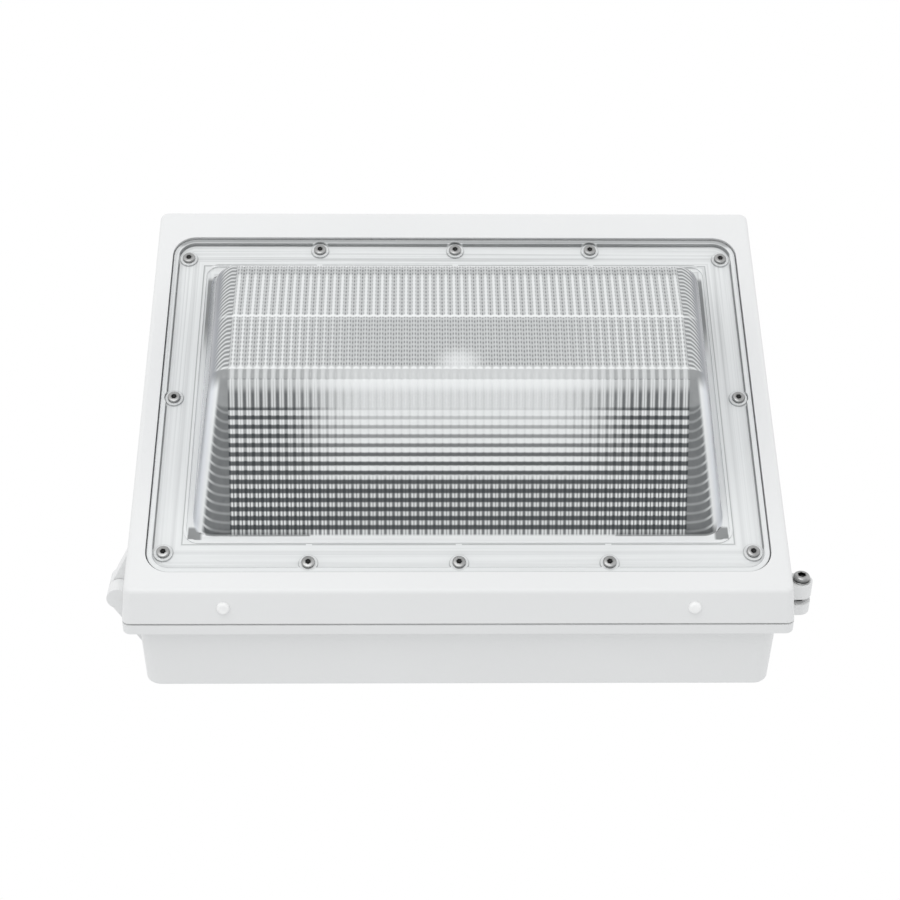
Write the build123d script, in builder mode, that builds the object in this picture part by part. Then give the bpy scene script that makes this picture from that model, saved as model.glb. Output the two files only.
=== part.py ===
from build123d import *
from math import atan2, cos, degrees, radians, sin, tan
import os

# Wall pack light. Millimetres. The wall is the plane Y = 0, the light stands
# out from it towards -Y, X runs to the viewer's right and Z runs up the wall.
# The origin is the centre of the back face.

# ---------------------------------------------------------------- sizes
# door casting
DOOR_WIDTH = 363.0          # across the edges of the sloping face
DOOR_HEIGHT = 244.0         # edge to edge of the face, measured up the wall
FACE_TILT = 24.0            # slope of the face from the wall
NOSE_DEPTH = 20.9           # from the seam to the face's lower edge
RIM_FLARE = 2.5             # how much each side widens from face to rim
DOOR_WALL = 3.5
FACE_WALL = 4.0
DOOR_CORNER = 5.0
FACE_EDGE_ROUND = 3.0

# seam between the door and the back box
SEAM_DEPTH = 50.0           # wall to the middle of the seam and the hinge axis
SEAM_GAP = 1.2

# back box casting
FLANGE_THICK = 6.0
FLANGE_OVERHANG = 7.0       # flange edge beyond the box wall
BOX_DRAFT = 1.2             # how much each wall draws in from flange to back
BOX_WALL = 3.2
BACK_WALL = 3.5
BOX_CORNER = 9.0
BACK_EDGE_ROUND = 1.8
GROOVE_WIDTH = 5.0
GROOVE_DEPTH = 2.5
GROOVE_INSET = 2.4          # flange edge to the groove
GASKET_SIDE_GAP = 0.2

# lens and its seat in the door
LENS_CENTRE = -5.0          # place of the lens up the face, from its middle
LENS_WIDTH = 342.0
LENS_LENGTH = 232.0
LENS_CORNER = 13.0
LENS_SEAT_GAP = 0.6
LENS_RIM_DROP = 1.4         # rim of the lens below the face
LENS_RIM_WIDTH = 3.0
LENS_RIM_HEIGHT = 2.4       # rim above the land that the screws stand on
LENS_LAND = 3.2             # thickness of the flange under the land
LENS_GASKET_THICK = 1.5
LEDGE_THICK = 3.2
OPENING_WIDTH = 299.0
OPENING_LENGTH = 186.0
OPENING_CORNER = 3.0
INNER_RIDGE_GAP = 3.0       # bulge to the low ridge round its foot
INNER_RIDGE_WIDTH = 1.6
INNER_RIDGE_HEIGHT = 0.9

# bulge of the lens at its foot, and its side view: runs are measured up the face
BULGE_WIDTH = 295.0
BULGE_LENGTH = 185.4
BULGE_CENTRE = -4.5
NEAR_RUN = 65.7             # foot to ridge
RIDGE_HEIGHT = 59.8         # ridge above the land of the flange
MIDDLE_RUN = 41.5
UPPER_RUN = 41.0
UPPER_DROP = 6.8
RIDGE_ROUND = 12.0
CREASE_ROUND = 40.0         # soft crease between the middle and upper facets
SHOULDER_ROUND = 9.0
SIDE_DRAFT = 11.0
SIDE_ROUND = 9.0
LENS_WALL = 3.2
FLUTE_PITCH = 4.5
FLUTE_DEPTH = 0.7
FLUTE_FIELD = 252.0
NEAR_RIB_PITCH = 5.1
UPPER_RIB_PITCH = 2.9
RIB_DEPTH = 0.8
FACET_MARGIN = 9.0          # plain strip at the ends of a facet

# lens screws
SCREW_SIDE_X = 163.5
SCREW_CORNER_X = 162.0
SCREW_MIDDLE_X = 82.5
SCREW_ROW = 109.0           # middle rows, from the lens centre line
SCREW_CORNER_ROW = 102.5
SCREW_CENTRE = -5.4
LENS_SCREW_R = 2.0
LENS_SCREW_LENGTH = 12.0
LENS_HEAD_R = 3.7
LENS_HEAD_HEIGHT = 2.3
LENS_SOCKET = 2.5           # across flats
LENS_SOCKET_DEPTH = 1.3
LENS_HOLE_GAP = 0.35
HEAD_ROUND = 0.4            # rounding of a screw head, as a share of its height
LENS_BOSS_R = 5.2
LENS_BOSS_HEIGHT = 1.0
DOOR_BOSS_WALL = 2.3
DOOR_BOSS_FLOOR = 1.0       # metal left under a screw hole
SCREW_TIP_GAP = 1.0
THREAD_GAP = 0.05

# weep plugs in the door's lower wall
PLUG_X = 128.0
PLUG_HOLE_R = 2.4
PLUG_HEAD_R = 3.5
PLUG_HEAD_HEIGHT = 2.2
PLUG_DOME = 0.7             # rounding of a plug head, as a share of its height
PLUG_BARB = 0.5

# hinge
AXIS_OUT = 4.5              # rim of the door to the hinge axis
KNUCKLE_R = 6.6
KNUCKLE_LENGTH = 10.0
KNUCKLE_GAP = 0.4
HINGE_LOW_INSET = 20.0      # door's lower edge to the lower face of the lower box knuckle
HINGE_HIGH_INSET = 41.0     # door's upper edge to the lower face of the upper box knuckle
PIN_R = 2.5
PIN_RUN_GAP = 0.06
PIN_BLIND = 1.8             # metal left under the pin
PIN_TAIL = 3.4              # pin standing out above the door knuckle
PIN_CHAMFER = 0.6
CLIP_R = 4.3
CLIP_THICK = 0.8
CLIP_NECK_R = 1.9
CLIP_SEAT_GAP = 0.3
CLIP_OPENING = 3.4
HINGE_CLEAR = 0.5           # notch round a knuckle of the other casting
DOOR_GUSSET_RUN = 25.0
BOX_GUSSET_RUN = 31.0
GUSSET_ROOT = 2.0           # how far a gusset runs into its wall

# latch
LATCH_OUT = 5.8             # rim of the door to the latch screws
LATCH_INSET = 21.0          # door's upper and lower edges to the latches
EAR_R = 6.3
DOOR_EAR_THICK = 9.0
BOX_EAR_THICK = 7.0
EAR_GAP = 3.8
LATCH_SCREW_R = 2.5
LATCH_TIP_R = 2.2
LATCH_TIP_GAP = 0.35
LATCH_TIP_CHAMFER = 0.5
LATCH_PASS_GAP = 0.3
LATCH_TRAVEL = 8.0
LATCH_HEAD_R = 4.5
LATCH_HEAD_HEIGHT = 3.0
LATCH_SOCKET = 4.0
LATCH_SOCKET_DEPTH = 2.0
WASHER_R = 5.1
WASHER_THICK = 0.9
WASHER_CHAMFER = 0.25
RETAINER_R = 4.4
RETAINER_THICK = 1.4

# wall mounting and wiring entry
WALL_HOLE_X = 280.0
WALL_HOLE_Z = 150.0
WALL_HOLE_R = 3.3
BOX_HOLE_SPACING = 88.9     # outlet box screws
BOX_HOLE_R = 2.6
ENTRY_R = 10.4
ENTRY_BOSS_WALL = 4.0
ENTRY_BOSS_HEIGHT = 8.5

# conduit entries and their plugs
CONDUIT_R = 10.4
CONDUIT_BOSS_WALL = 4.0
CONDUIT_BOSS_DEPTH = 9.0
CONDUIT_SEAT_R = 13.0
CONDUIT_SEAT_DEPTH = 1.0
CONDUIT_PLUG_GAP = 0.05
CONDUIT_PLUG_LENGTH = 9.0
CONDUIT_HEAD_THICK = 3.2
CONDUIT_SOCKET = 10.0
CONDUIT_CHAMFER = 0.6
O_RING_THICK = 1.6
O_RING_SQUEEZE = 0.2

# gear tray and light engine inside
TRAY_SIDE_GAP = 16.0        # outside of the box wall to the tray, at the flange
TRAY_END_GAP = 15.5
TRAY_THICK = 1.5
TRAY_FOLD = 8.0
TRAY_POST_SIDE = 13.0       # tray edge to its screws
TRAY_POST_END = 14.0
TRAY_FRONT_GAP = 5.5        # tray face behind the seam
POST_R = 5.0
SMALL_SCREW_R = 2.0
SMALL_HEAD_R = 3.8
SMALL_HEAD_HEIGHT = 2.4
SMALL_SCREW_LENGTH = 9.0
SMALL_SOCKET = 2.5
SMALL_SOCKET_DEPTH = 1.4
BRACKET_WIDTH = 250.0
BRACKET_LENGTH = 92.0
BRACKET_THICK = 2.0
BRACKET_LOW = 8.0           # height of the bracket's lower edge over the tray
BRACKET_FOOT = 12.0
BRACKET_FOOT_X = 200.0      # spacing of the foot screws
BRACKET_CENTRE_Z = 6.0
PAD_THICK = 0.5
BOARD_WIDTH = 212.0
BOARD_LENGTH = 60.0
BOARD_THICK = 1.6
LED_SIZE = 5.0
LED_THICK = 0.9
LED_COLUMNS = 12
LED_ROWS = 3
LED_PITCH_X = 17.0
LED_PITCH_V = 18.0
BOARD_SCREW_X = 200.0
BOARD_SCREW_V = 50.0
CONNECTOR_X = -101.0
CONNECTOR_WIDTH = 12.0
CONNECTOR_LENGTH = 8.0
CONNECTOR_HEIGHT = 4.6
REFLECTOR_GAP = 2.0         # board edge to the foot of the reflector
REFLECTOR_FLANGE = 12.0
REFLECTOR_FLARE = 5.0       # kept inside the heads of its screws
REFLECTOR_HEIGHT = 13.0
REFLECTOR_THICK = 1.0
REFLECTOR_SCREW_X = 232.0
REFLECTOR_SCREW_V = 80.0

# driver, terminals and earth
DRIVER_BOSS_GAP = 1.4       # boss of the conduit entry to the driver's post
DRIVER_LENGTH = 118.0
DRIVER_WIDTH = 56.0
DRIVER_HEIGHT = 28.0
DRIVER_EAR = 8.0
DRIVER_EAR_THICK = 2.4
DRIVER_CORNER = 4.0
TERMINAL_X = -96.0
TERMINAL_LENGTH = 44.0
TERMINAL_WIDTH = 20.0
TERMINAL_HEIGHT = 16.0
TERMINAL_WAYS = 3
TERMINAL_PITCH = 8.0
TERMINAL_FOOT = 6.0         # height of the ends that its screws hold
TERMINAL_HOLE_R = 2.2
TERMINAL_WIRE_R = 1.7
EARTH_X = -96.0
EARTH_Z = 62.0
EARTH_PAD_R = 6.0
EARTH_PAD_HEIGHT = 4.0

# ---------------------------------------------------------------- places
tilt = radians(FACE_TILT)
face_length = DOOR_HEIGHT / cos(tilt)
face_middle = SEAM_DEPTH + NOSE_DEPTH + DOOR_HEIGHT / 2 * tan(tilt)
rim_width = DOOR_WIDTH + 2 * RIM_FLARE
rim_height = DOOR_HEIGHT + 2 * RIM_FLARE
door_rim = SEAM_DEPTH + SEAM_GAP / 2
flange_front = SEAM_DEPTH - SEAM_GAP / 2
flange_back = flange_front - FLANGE_THICK
box_width = rim_width - 2 * FLANGE_OVERHANG
box_height = rim_height - 2 * FLANGE_OVERHANG
tray_front = flange_front - TRAY_FRONT_GAP
tray_back = tray_front - TRAY_THICK
tray_width = box_width - 2 * TRAY_SIDE_GAP
tray_height = box_height - 2 * TRAY_END_GAP
tray_post_x = tray_width - 2 * TRAY_POST_SIDE
tray_post_z = tray_height - 2 * TRAY_POST_END


def wall_plane(depth):
    """Plane parallel to the wall, this far from it, looking outwards."""
    return Plane(origin=(0, -depth, 0), x_dir=(1, 0, 0), z_dir=(0, -1, 0))


face_plane = Plane(
    origin=(0, -face_middle, 0),
    x_dir=(1, 0, 0),
    z_dir=(0, -cos(tilt), -sin(tilt)),
)
back_plane = Plane(origin=(0, 0, 0), x_dir=(1, 0, 0), z_dir=(0, -1, 0))

land_level = -(LENS_RIM_DROP + LENS_RIM_HEIGHT)
flange_under = land_level - LENS_LAND
ledge_top = flange_under - LENS_GASKET_THICK
ledge_back = ledge_top - LEDGE_THICK
head_seat = land_level + LENS_BOSS_HEIGHT

lens_screw_places = []
for side in (-1, 1):
    lens_screw_places.append((side * SCREW_SIDE_X, SCREW_CENTRE))
    for row in (-1, 1):
        corner_row = SCREW_CENTRE + row * SCREW_CORNER_ROW
        lens_screw_places.append((side * SCREW_CORNER_X, corner_row))
        middle_row = SCREW_CENTRE + row * SCREW_ROW
        lens_screw_places.append((side * SCREW_MIDDLE_X, middle_row))
for row in (-1, 1):
    lens_screw_places.append((0, SCREW_CENTRE + row * SCREW_ROW))

axis_x = -(rim_width / 2 + AXIS_OUT)
hinge_low = HINGE_LOW_INSET - DOOR_HEIGHT / 2
hinge_levels = {"lower": hinge_low, "upper": DOOR_HEIGHT / 2 - HINGE_HIGH_INSET}
latch_x = rim_width / 2 + LATCH_OUT
latch_z = DOOR_HEIGHT / 2 - LATCH_INSET
latch_levels = {"lower": -latch_z, "upper": latch_z}

# pads on the back wall and the screws that stand in them
pad_top = BACK_WALL + EARTH_PAD_HEIGHT
pad_screw_length = EARTH_PAD_HEIGHT + SCREW_TIP_GAP
entry_boss_end = box_width / 2 - BOX_DRAFT / 2 - CONDUIT_BOSS_DEPTH
driver_screw_x = DRIVER_LENGTH + DRIVER_EAR
driver_x = entry_boss_end - DRIVER_BOSS_GAP - POST_R - driver_screw_x / 2
driver_screw_places = [(driver_x - driver_screw_x / 2, 0), (driver_x + driver_screw_x / 2, 0)]
terminal_screw_x = TERMINAL_LENGTH - 2 * POST_R
terminal_screw_places = [
    (TERMINAL_X - terminal_screw_x / 2, 0),
    (TERMINAL_X + terminal_screw_x / 2, 0),
]


def side_of_door(depth):
    """Half width of the door casting at this depth from the wall, near the hinge."""
    share = (depth - door_rim) / (NOSE_DEPTH + HINGE_LOW_INSET * tan(tilt))
    return rim_width / 2 - RIM_FLARE * share


def corners(width, length, centre=(0, 0)):
    """The four corners of a rectangle."""
    return [
        (centre[0] + side * width / 2, centre[1] + end * length / 2)
        for side in (-1, 1)
        for end in (-1, 1)
    ]


def socket_screws(plane, places, head, shank, socket):
    """Round head screws whose heads stand on a plane, with their shanks below it.

    head and socket are a size and a height or depth, shank is a radius and a length.
    """
    with BuildPart(mode=Mode.PRIVATE) as screws:
        with BuildSketch(plane):
            with Locations(*places):
                Circle(head[0])
        extrude(amount=head[1])
        outwards = Axis(tuple(plane.origin), tuple(plane.z_dir))
        rims = screws.edges().filter_by(GeomType.CIRCLE).group_by(outwards)[-1]
        fillet(rims, head[1] * HEAD_ROUND)
        with BuildSketch(plane):
            with Locations(*places):
                Circle(shank[0])
        extrude(amount=-shank[1])
        with BuildSketch(plane.offset(head[1])):
            with Locations(*places):
                RegularPolygon(socket[0] / 2, 6, major_radius=False)
        extrude(amount=-socket[1], mode=Mode.SUBTRACT)
    return screws.part


def small_screws(plane, places, shank_length):
    """Pan head screws of the size used inside the light."""
    return socket_screws(
        plane,
        places,
        (SMALL_HEAD_R, SMALL_HEAD_HEIGHT),
        (SMALL_SCREW_R, shank_length),
        (SMALL_SOCKET, SMALL_SOCKET_DEPTH),
    )


os.makedirs("parts", exist_ok=True)


def keep(piece, label):
    """Name a finished piece and write its file."""
    piece.part.label = label
    export_step(piece.part, "parts/" + label + ".step")


# ---------------------------------------------------------------- back box
with BuildPart() as back_box:
    with BuildSketch(back_plane):
        RectangleRounded(box_width - 2 * BOX_DRAFT, box_height - 2 * BOX_DRAFT, BOX_CORNER)
    with BuildSketch(wall_plane(flange_back)):
        RectangleRounded(box_width, box_height, BOX_CORNER)
    loft()
    fillet(back_box.faces().sort_by(Axis.Y)[-1].edges(), BACK_EDGE_ROUND)
    with BuildSketch(wall_plane(flange_back)):
        RectangleRounded(rim_width, rim_height, DOOR_CORNER)
    extrude(amount=FLANGE_THICK)
    # ears that take the latch screws
    for level in latch_levels.values():
        with BuildSketch(wall_plane(flange_front - BOX_EAR_THICK)):
            with Locations((latch_x, level)):
                Circle(EAR_R)
            with Locations((latch_x, level)):
                Rectangle(latch_x - rim_width / 2 + GUSSET_ROOT, 2 * EAR_R, align=(Align.MAX, Align.CENTER))
        extrude(amount=BOX_EAR_THICK)
    # hinge knuckles with a web that runs back along the box wall
    for level in hinge_levels.values():
        with BuildSketch(Plane.XY.offset(level)):
            with Locations((axis_x, -SEAM_DEPTH)):
                Circle(KNUCKLE_R)
            with BuildLine():
                web_end = -box_width / 2
                Polyline(
                    (axis_x - KNUCKLE_R, -SEAM_DEPTH),
                    (web_end, -SEAM_DEPTH + BOX_GUSSET_RUN),
                    (web_end + GUSSET_ROOT, -SEAM_DEPTH + BOX_GUSSET_RUN),
                    (web_end + GUSSET_ROOT, -flange_front),
                    (axis_x, -flange_front),
                    close=True,
                )
            make_face()
        extrude(amount=KNUCKLE_LENGTH)
    # the hollow
    with BuildSketch(wall_plane(BACK_WALL)):
        RectangleRounded(
            box_width - 2 * BOX_WALL - 2 * BOX_DRAFT,
            box_height - 2 * BOX_WALL - 2 * BOX_DRAFT,
            BOX_CORNER - BOX_WALL,
        )
    with BuildSketch(wall_plane(flange_front)):
        RectangleRounded(box_width - 2 * BOX_WALL, box_height - 2 * BOX_WALL, BOX_CORNER - BOX_WALL)
    loft(mode=Mode.SUBTRACT)
    # groove for the seal
    with BuildSketch(wall_plane(flange_front)):
        RectangleRounded(rim_width - 2 * GROOVE_INSET, rim_height - 2 * GROOVE_INSET, DOOR_CORNER)
        inner = GROOVE_INSET + GROOVE_WIDTH
        RectangleRounded(rim_width - 2 * inner, rim_height - 2 * inner, DOOR_CORNER, mode=Mode.SUBTRACT)
    extrude(amount=-GROOVE_DEPTH, mode=Mode.SUBTRACT)
    # posts for the tray, seats for the driver and terminals, earth pad
    with BuildSketch(wall_plane(BACK_WALL)):
        with GridLocations(tray_post_x, tray_post_z, 2, 2):
            Circle(POST_R)
    extrude(amount=tray_back - BACK_WALL)
    with BuildSketch(wall_plane(BACK_WALL)):
        with Locations((EARTH_X, EARTH_Z)):
            Circle(EARTH_PAD_R)
        with Locations(*driver_screw_places):
            Circle(POST_R)
        with Locations(*terminal_screw_places):
            Circle(POST_R)
    extrude(amount=EARTH_PAD_HEIGHT)
    # boss round the wiring entry in the back wall
    with BuildSketch(wall_plane(BACK_WALL)):
        Circle(ENTRY_R + ENTRY_BOSS_WALL)
    extrude(amount=ENTRY_BOSS_HEIGHT - BACK_WALL)
    # bosses inside the walls for the conduit entries
    conduit_depth = flange_back / 2
    conduit_planes = {
        "left": Plane(
            origin=(-box_width / 2 + BOX_DRAFT / 2, -conduit_depth, 0), x_dir=(0, 1, 0), z_dir=(-1, 0, 0)
        ),
        "right": Plane(
            origin=(box_width / 2 - BOX_DRAFT / 2, -conduit_depth, 0), x_dir=(0, 1, 0), z_dir=(1, 0, 0)
        ),
        "top": Plane(
            origin=(0, -conduit_depth, box_height / 2 - BOX_DRAFT / 2), x_dir=(1, 0, 0), z_dir=(0, 0, 1)
        ),
    }
    for entry in conduit_planes.values():
        with BuildSketch(entry.offset(-BOX_DRAFT)):
            Circle(CONDUIT_R + CONDUIT_BOSS_WALL)
        extrude(amount=-CONDUIT_BOSS_DEPTH + BOX_DRAFT)
        with BuildSketch(entry.offset(BOX_DRAFT)):
            Circle(CONDUIT_SEAT_R)
        extrude(amount=-BOX_DRAFT - CONDUIT_SEAT_DEPTH, mode=Mode.SUBTRACT)
        with BuildSketch(entry):
            Circle(CONDUIT_R)
        extrude(amount=-CONDUIT_BOSS_DEPTH - SCREW_TIP_GAP, mode=Mode.SUBTRACT)
    # through holes in the back wall
    with BuildSketch(back_plane):
        Circle(ENTRY_R)
        with GridLocations(WALL_HOLE_X, WALL_HOLE_Z, 2, 2):
            Circle(WALL_HOLE_R)
        with GridLocations(0, BOX_HOLE_SPACING, 1, 2):
            Circle(BOX_HOLE_R)
    extrude(amount=ENTRY_BOSS_HEIGHT, mode=Mode.SUBTRACT)
    # screw holes in posts and pads
    with BuildSketch(wall_plane(tray_back)):
        with GridLocations(tray_post_x, tray_post_z, 2, 2):
            Circle(SMALL_SCREW_R + THREAD_GAP)
    extrude(amount=-SMALL_SCREW_LENGTH, mode=Mode.SUBTRACT)
    with BuildSketch(wall_plane(pad_top)):
        with Locations((EARTH_X, EARTH_Z), *driver_screw_places, *terminal_screw_places):
            Circle(SMALL_SCREW_R + THREAD_GAP)
    extrude(amount=-pad_screw_length - SCREW_TIP_GAP / 2, mode=Mode.SUBTRACT)
    # holes of the latch ears and hinge knuckles, notches for the door knuckles
    for level in latch_levels.values():
        with BuildSketch(wall_plane(flange_front)):
            with Locations((latch_x, level)):
                Circle(LATCH_TIP_R + LATCH_TIP_GAP)
        extrude(amount=-BOX_EAR_THICK, mode=Mode.SUBTRACT)
    for level in hinge_levels.values():
        with BuildSketch(Plane.XY.offset(level + PIN_BLIND)):
            with Locations((axis_x, -SEAM_DEPTH)):
                Circle(PIN_R)
        extrude(amount=KNUCKLE_LENGTH, mode=Mode.SUBTRACT)
        with BuildSketch(Plane.XY.offset(level + KNUCKLE_LENGTH)):
            with Locations((axis_x, -SEAM_DEPTH)):
                Circle(KNUCKLE_R + HINGE_CLEAR)
        extrude(amount=KNUCKLE_LENGTH + 2 * KNUCKLE_GAP, mode=Mode.SUBTRACT)
keep(back_box, "back_box")

# ---------------------------------------------------------------- box seal
with BuildPart() as box_gasket:
    outer = GROOVE_INSET + GASKET_SIDE_GAP
    inner = GROOVE_INSET + GROOVE_WIDTH - GASKET_SIDE_GAP
    with BuildSketch(wall_plane(flange_front - GROOVE_DEPTH)):
        RectangleRounded(rim_width - 2 * outer, rim_height - 2 * outer, DOOR_CORNER)
        RectangleRounded(rim_width - 2 * inner, rim_height - 2 * inner, DOOR_CORNER, mode=Mode.SUBTRACT)
    extrude(amount=GROOVE_DEPTH + SEAM_GAP)
keep(box_gasket, "box_gasket")

# ---------------------------------------------------------------- door casting
cavity_length = face_length - 2 * DOOR_WALL / cos(tilt)
cavity_shift = -FACE_WALL * tan(tilt)
with BuildPart() as door_frame:
    with BuildSketch(wall_plane(door_rim)):
        RectangleRounded(rim_width, rim_height, DOOR_CORNER)
    with BuildSketch(face_plane):
        RectangleRounded(DOOR_WIDTH, face_length, DOOR_CORNER)
    loft()
    outward = Axis((0, 0, 0), tuple(face_plane.z_dir))
    fillet(door_frame.faces().sort_by(outward)[-1].edges(), FACE_EDGE_ROUND)
    # hollow behind the face
    with BuildSketch(wall_plane(door_rim)):
        RectangleRounded(rim_width - 2 * DOOR_WALL, rim_height - 2 * DOOR_WALL, DOOR_CORNER / 2)
    with BuildSketch(face_plane.offset(-FACE_WALL)):
        with Locations((0, cavity_shift)):
            RectangleRounded(DOOR_WIDTH - 2 * DOOR_WALL, cavity_length, DOOR_CORNER / 2)
    loft(mode=Mode.SUBTRACT)
    # thick band that carries the lens seat
    seat_width = LENS_WIDTH + 2 * LENS_SEAT_GAP
    seat_length = LENS_LENGTH + 2 * LENS_SEAT_GAP
    band_low = -face_length / 2 + DOOR_WALL
    band_high = LENS_CENTRE + seat_length / 2 + DOOR_WALL
    with BuildSketch(face_plane.offset(ledge_back)):
        with Locations((0, (band_low + band_high) / 2)):
            Rectangle(DOOR_WIDTH - DOOR_WALL, band_high - band_low)
    extrude(amount=-ledge_back - FACE_WALL / 2)
    with BuildSketch(face_plane.offset(ledge_back)):
        with Locations(*lens_screw_places):
            Circle(LENS_SCREW_R + DOOR_BOSS_WALL)
    hole_reach = LENS_SCREW_LENGTH - head_seat + SCREW_TIP_GAP
    extrude(amount=-(hole_reach + DOOR_BOSS_FLOOR + ledge_back))
    with BuildSketch(face_plane):
        with Locations((0, LENS_CENTRE)):
            RectangleRounded(seat_width, seat_length, LENS_CORNER + LENS_SEAT_GAP)
    extrude(amount=ledge_top, mode=Mode.SUBTRACT)
    with BuildSketch(face_plane):
        with Locations((0, LENS_CENTRE)):
            RectangleRounded(OPENING_WIDTH, OPENING_LENGTH, OPENING_CORNER)
    extrude(amount=ledge_back, mode=Mode.SUBTRACT)
    with BuildSketch(face_plane.offset(ledge_top)):
        with Locations(*lens_screw_places):
            Circle(LENS_SCREW_R + THREAD_GAP)
    extrude(amount=-(hole_reach + ledge_top), mode=Mode.SUBTRACT)
    # latch ears
    door_ear_back = flange_front + EAR_GAP
    for level in latch_levels.values():
        with BuildSketch(wall_plane(door_ear_back)):
            with Locations((latch_x, level)):
                Circle(EAR_R)
            with Locations((latch_x, level)):
                Rectangle(latch_x - DOOR_WIDTH / 2 + GUSSET_ROOT, 2 * EAR_R, align=(Align.MAX, Align.CENTER))
        extrude(amount=DOOR_EAR_THICK)
        with BuildSketch(wall_plane(door_ear_back)):
            with Locations((latch_x, level)):
                Circle(LATCH_SCREW_R + LATCH_PASS_GAP)
        extrude(amount=DOOR_EAR_THICK, mode=Mode.SUBTRACT)
    # hinge knuckles with a web that runs forward along the door wall
    for level in hinge_levels.values():
        with BuildSketch(Plane.XY.offset(level + KNUCKLE_LENGTH + KNUCKLE_GAP)):
            with Locations((axis_x, -SEAM_DEPTH)):
                Circle(KNUCKLE_R)
            with BuildLine():
                web_depth = SEAM_DEPTH + DOOR_GUSSET_RUN
                web_wall = -side_of_door(web_depth)
                Polyline(
                    (axis_x - KNUCKLE_R, -SEAM_DEPTH),
                    (web_wall, -web_depth),
                    (web_wall + GUSSET_ROOT, -web_depth),
                    (-rim_width / 2 + GUSSET_ROOT, -door_rim),
                    (axis_x, -door_rim),
                    close=True,
                )
            make_face()
        extrude(amount=KNUCKLE_LENGTH)
        with BuildSketch(Plane.XY.offset(level + KNUCKLE_LENGTH + KNUCKLE_GAP)):
            with Locations((axis_x, -SEAM_DEPTH)):
                Circle(PIN_R + PIN_RUN_GAP)
        extrude(amount=KNUCKLE_LENGTH, mode=Mode.SUBTRACT)
        with BuildSketch(Plane.XY.offset(level - KNUCKLE_GAP)):
            with Locations((axis_x, -SEAM_DEPTH)):
                Circle(KNUCKLE_R + HINGE_CLEAR)
        extrude(amount=KNUCKLE_LENGTH + 2 * KNUCKLE_GAP, mode=Mode.SUBTRACT)
    # weep holes in the lower wall
    lower_wall_lean = degrees(atan2(RIM_FLARE, NOSE_DEPTH - SEAM_GAP / 2))
    plug_plane = Plane(
        origin=(0, -(SEAM_DEPTH + (NOSE_DEPTH + SEAM_GAP / 2) / 2), -(DOOR_HEIGHT + RIM_FLARE) / 2),
        x_dir=(1, 0, 0),
        z_dir=(0, -sin(radians(lower_wall_lean)), -cos(radians(lower_wall_lean))),
    )
    with BuildSketch(plug_plane.offset(DOOR_WALL)):
        with Locations((-PLUG_X, 0), (PLUG_X, 0)):
            Circle(PLUG_HOLE_R)
    extrude(amount=-3 * DOOR_WALL, mode=Mode.SUBTRACT)
keep(door_frame, "door_frame")

# ---------------------------------------------------------------- lens
# side view of the bulge: local x runs up the face, local y outwards, from the land
profile_plane = Plane(
    origin=face_plane.offset(land_level).origin,
    x_dir=face_plane.y_dir,
    z_dir=face_plane.x_dir,
)
# end view of the bulge: local x runs across, local y outwards, from the land
end_plane = Plane(
    origin=profile_plane.origin,
    x_dir=face_plane.x_dir,
    z_dir=face_plane.y_dir * -1,
)
foot = BULGE_CENTRE - BULGE_LENGTH / 2
ridge_place = (foot + NEAR_RUN, RIDGE_HEIGHT)
crease_place = (foot + NEAR_RUN + MIDDLE_RUN, RIDGE_HEIGHT)
shoulder_place = (foot + NEAR_RUN + MIDDLE_RUN + UPPER_RUN, RIDGE_HEIGHT - UPPER_DROP)
far_foot = foot + BULGE_LENGTH
near_slope = RIDGE_HEIGHT / NEAR_RUN
far_slope = shoulder_place[1] / (far_foot - shoulder_place[0])


def bulge_body(shrink, root):
    """Smooth body of the bulge, walls moved inwards by shrink, reaching root below the land."""
    half_width = BULGE_WIDTH / 2 - shrink / cos(radians(SIDE_DRAFT))
    reach = 2 * RIDGE_HEIGHT
    lean = reach * tan(radians(SIDE_DRAFT))
    with BuildPart(mode=Mode.PRIVATE) as body:
        with BuildSketch(profile_plane) as side_view:
            with BuildLine():
                Polyline(
                    (foot - root / near_slope, -root),
                    ridge_place,
                    crease_place,
                    shoulder_place,
                    (far_foot + root / far_slope, -root),
                    close=True,
                )
            make_face()
            if shrink > 0:
                offset(amount=-shrink, kind=Kind.INTERSECTION, mode=Mode.REPLACE)
            # each rounded corner adds a vertex, so the next sharp one is two further on
            for place, radius in ((0, RIDGE_ROUND), (2, CREASE_ROUND), (4, SHOULDER_ROUND)):
                crown = side_view.vertices().filter_by(lambda v: v.Y > 0).sort_by(Axis.X)
                fillet(crown[place], radius - shrink)
        extrude(amount=BULGE_WIDTH / 2 + root, both=True)
        with BuildSketch(end_plane):
            for side in (-1, 1):
                with BuildLine():
                    Polyline(
                        (side * (half_width + lean), -reach),
                        (side * (half_width - lean), reach),
                        (side * 2 * BULGE_WIDTH, reach),
                        (side * 2 * BULGE_WIDTH, -reach),
                        close=True,
                    )
                make_face()
        extrude(amount=BULGE_LENGTH, both=True, mode=Mode.SUBTRACT)
        walls = body.faces().filter_by(lambda f: abs(f.normal_at().X) > 0.9)
        base = face_plane.offset(land_level - root + shrink)
        rounds = walls.edges().filter_by(lambda e: base.to_local_coords(e.center()).Z > 1.0)
        fillet(rounds, SIDE_ROUND - shrink)
    return body.part


def facet(start, end):
    """Middle, direction and length of a facet of the side view, between its rounded ends."""
    run = end[0] - start[0]
    rise = end[1] - start[1]
    length = (run ** 2 + rise ** 2) ** 0.5
    middle = ((start[0] + end[0]) / 2, (start[1] + end[1]) / 2)
    return middle, (run / length, rise / length), length


def saw(width, pitch, depth, lift):
    """Outline of a row of V grooves that hangs down from a line lifted above y = 0."""
    teeth = int(width / pitch)
    left = -teeth * pitch / 2
    points = [(left, lift), (left, 0)]
    for tooth in range(teeth):
        points.append((left + (tooth + 0.5) * pitch, -depth))
        points.append((left + (tooth + 1) * pitch, 0))
    points.append((-left, lift))
    return points


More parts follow.
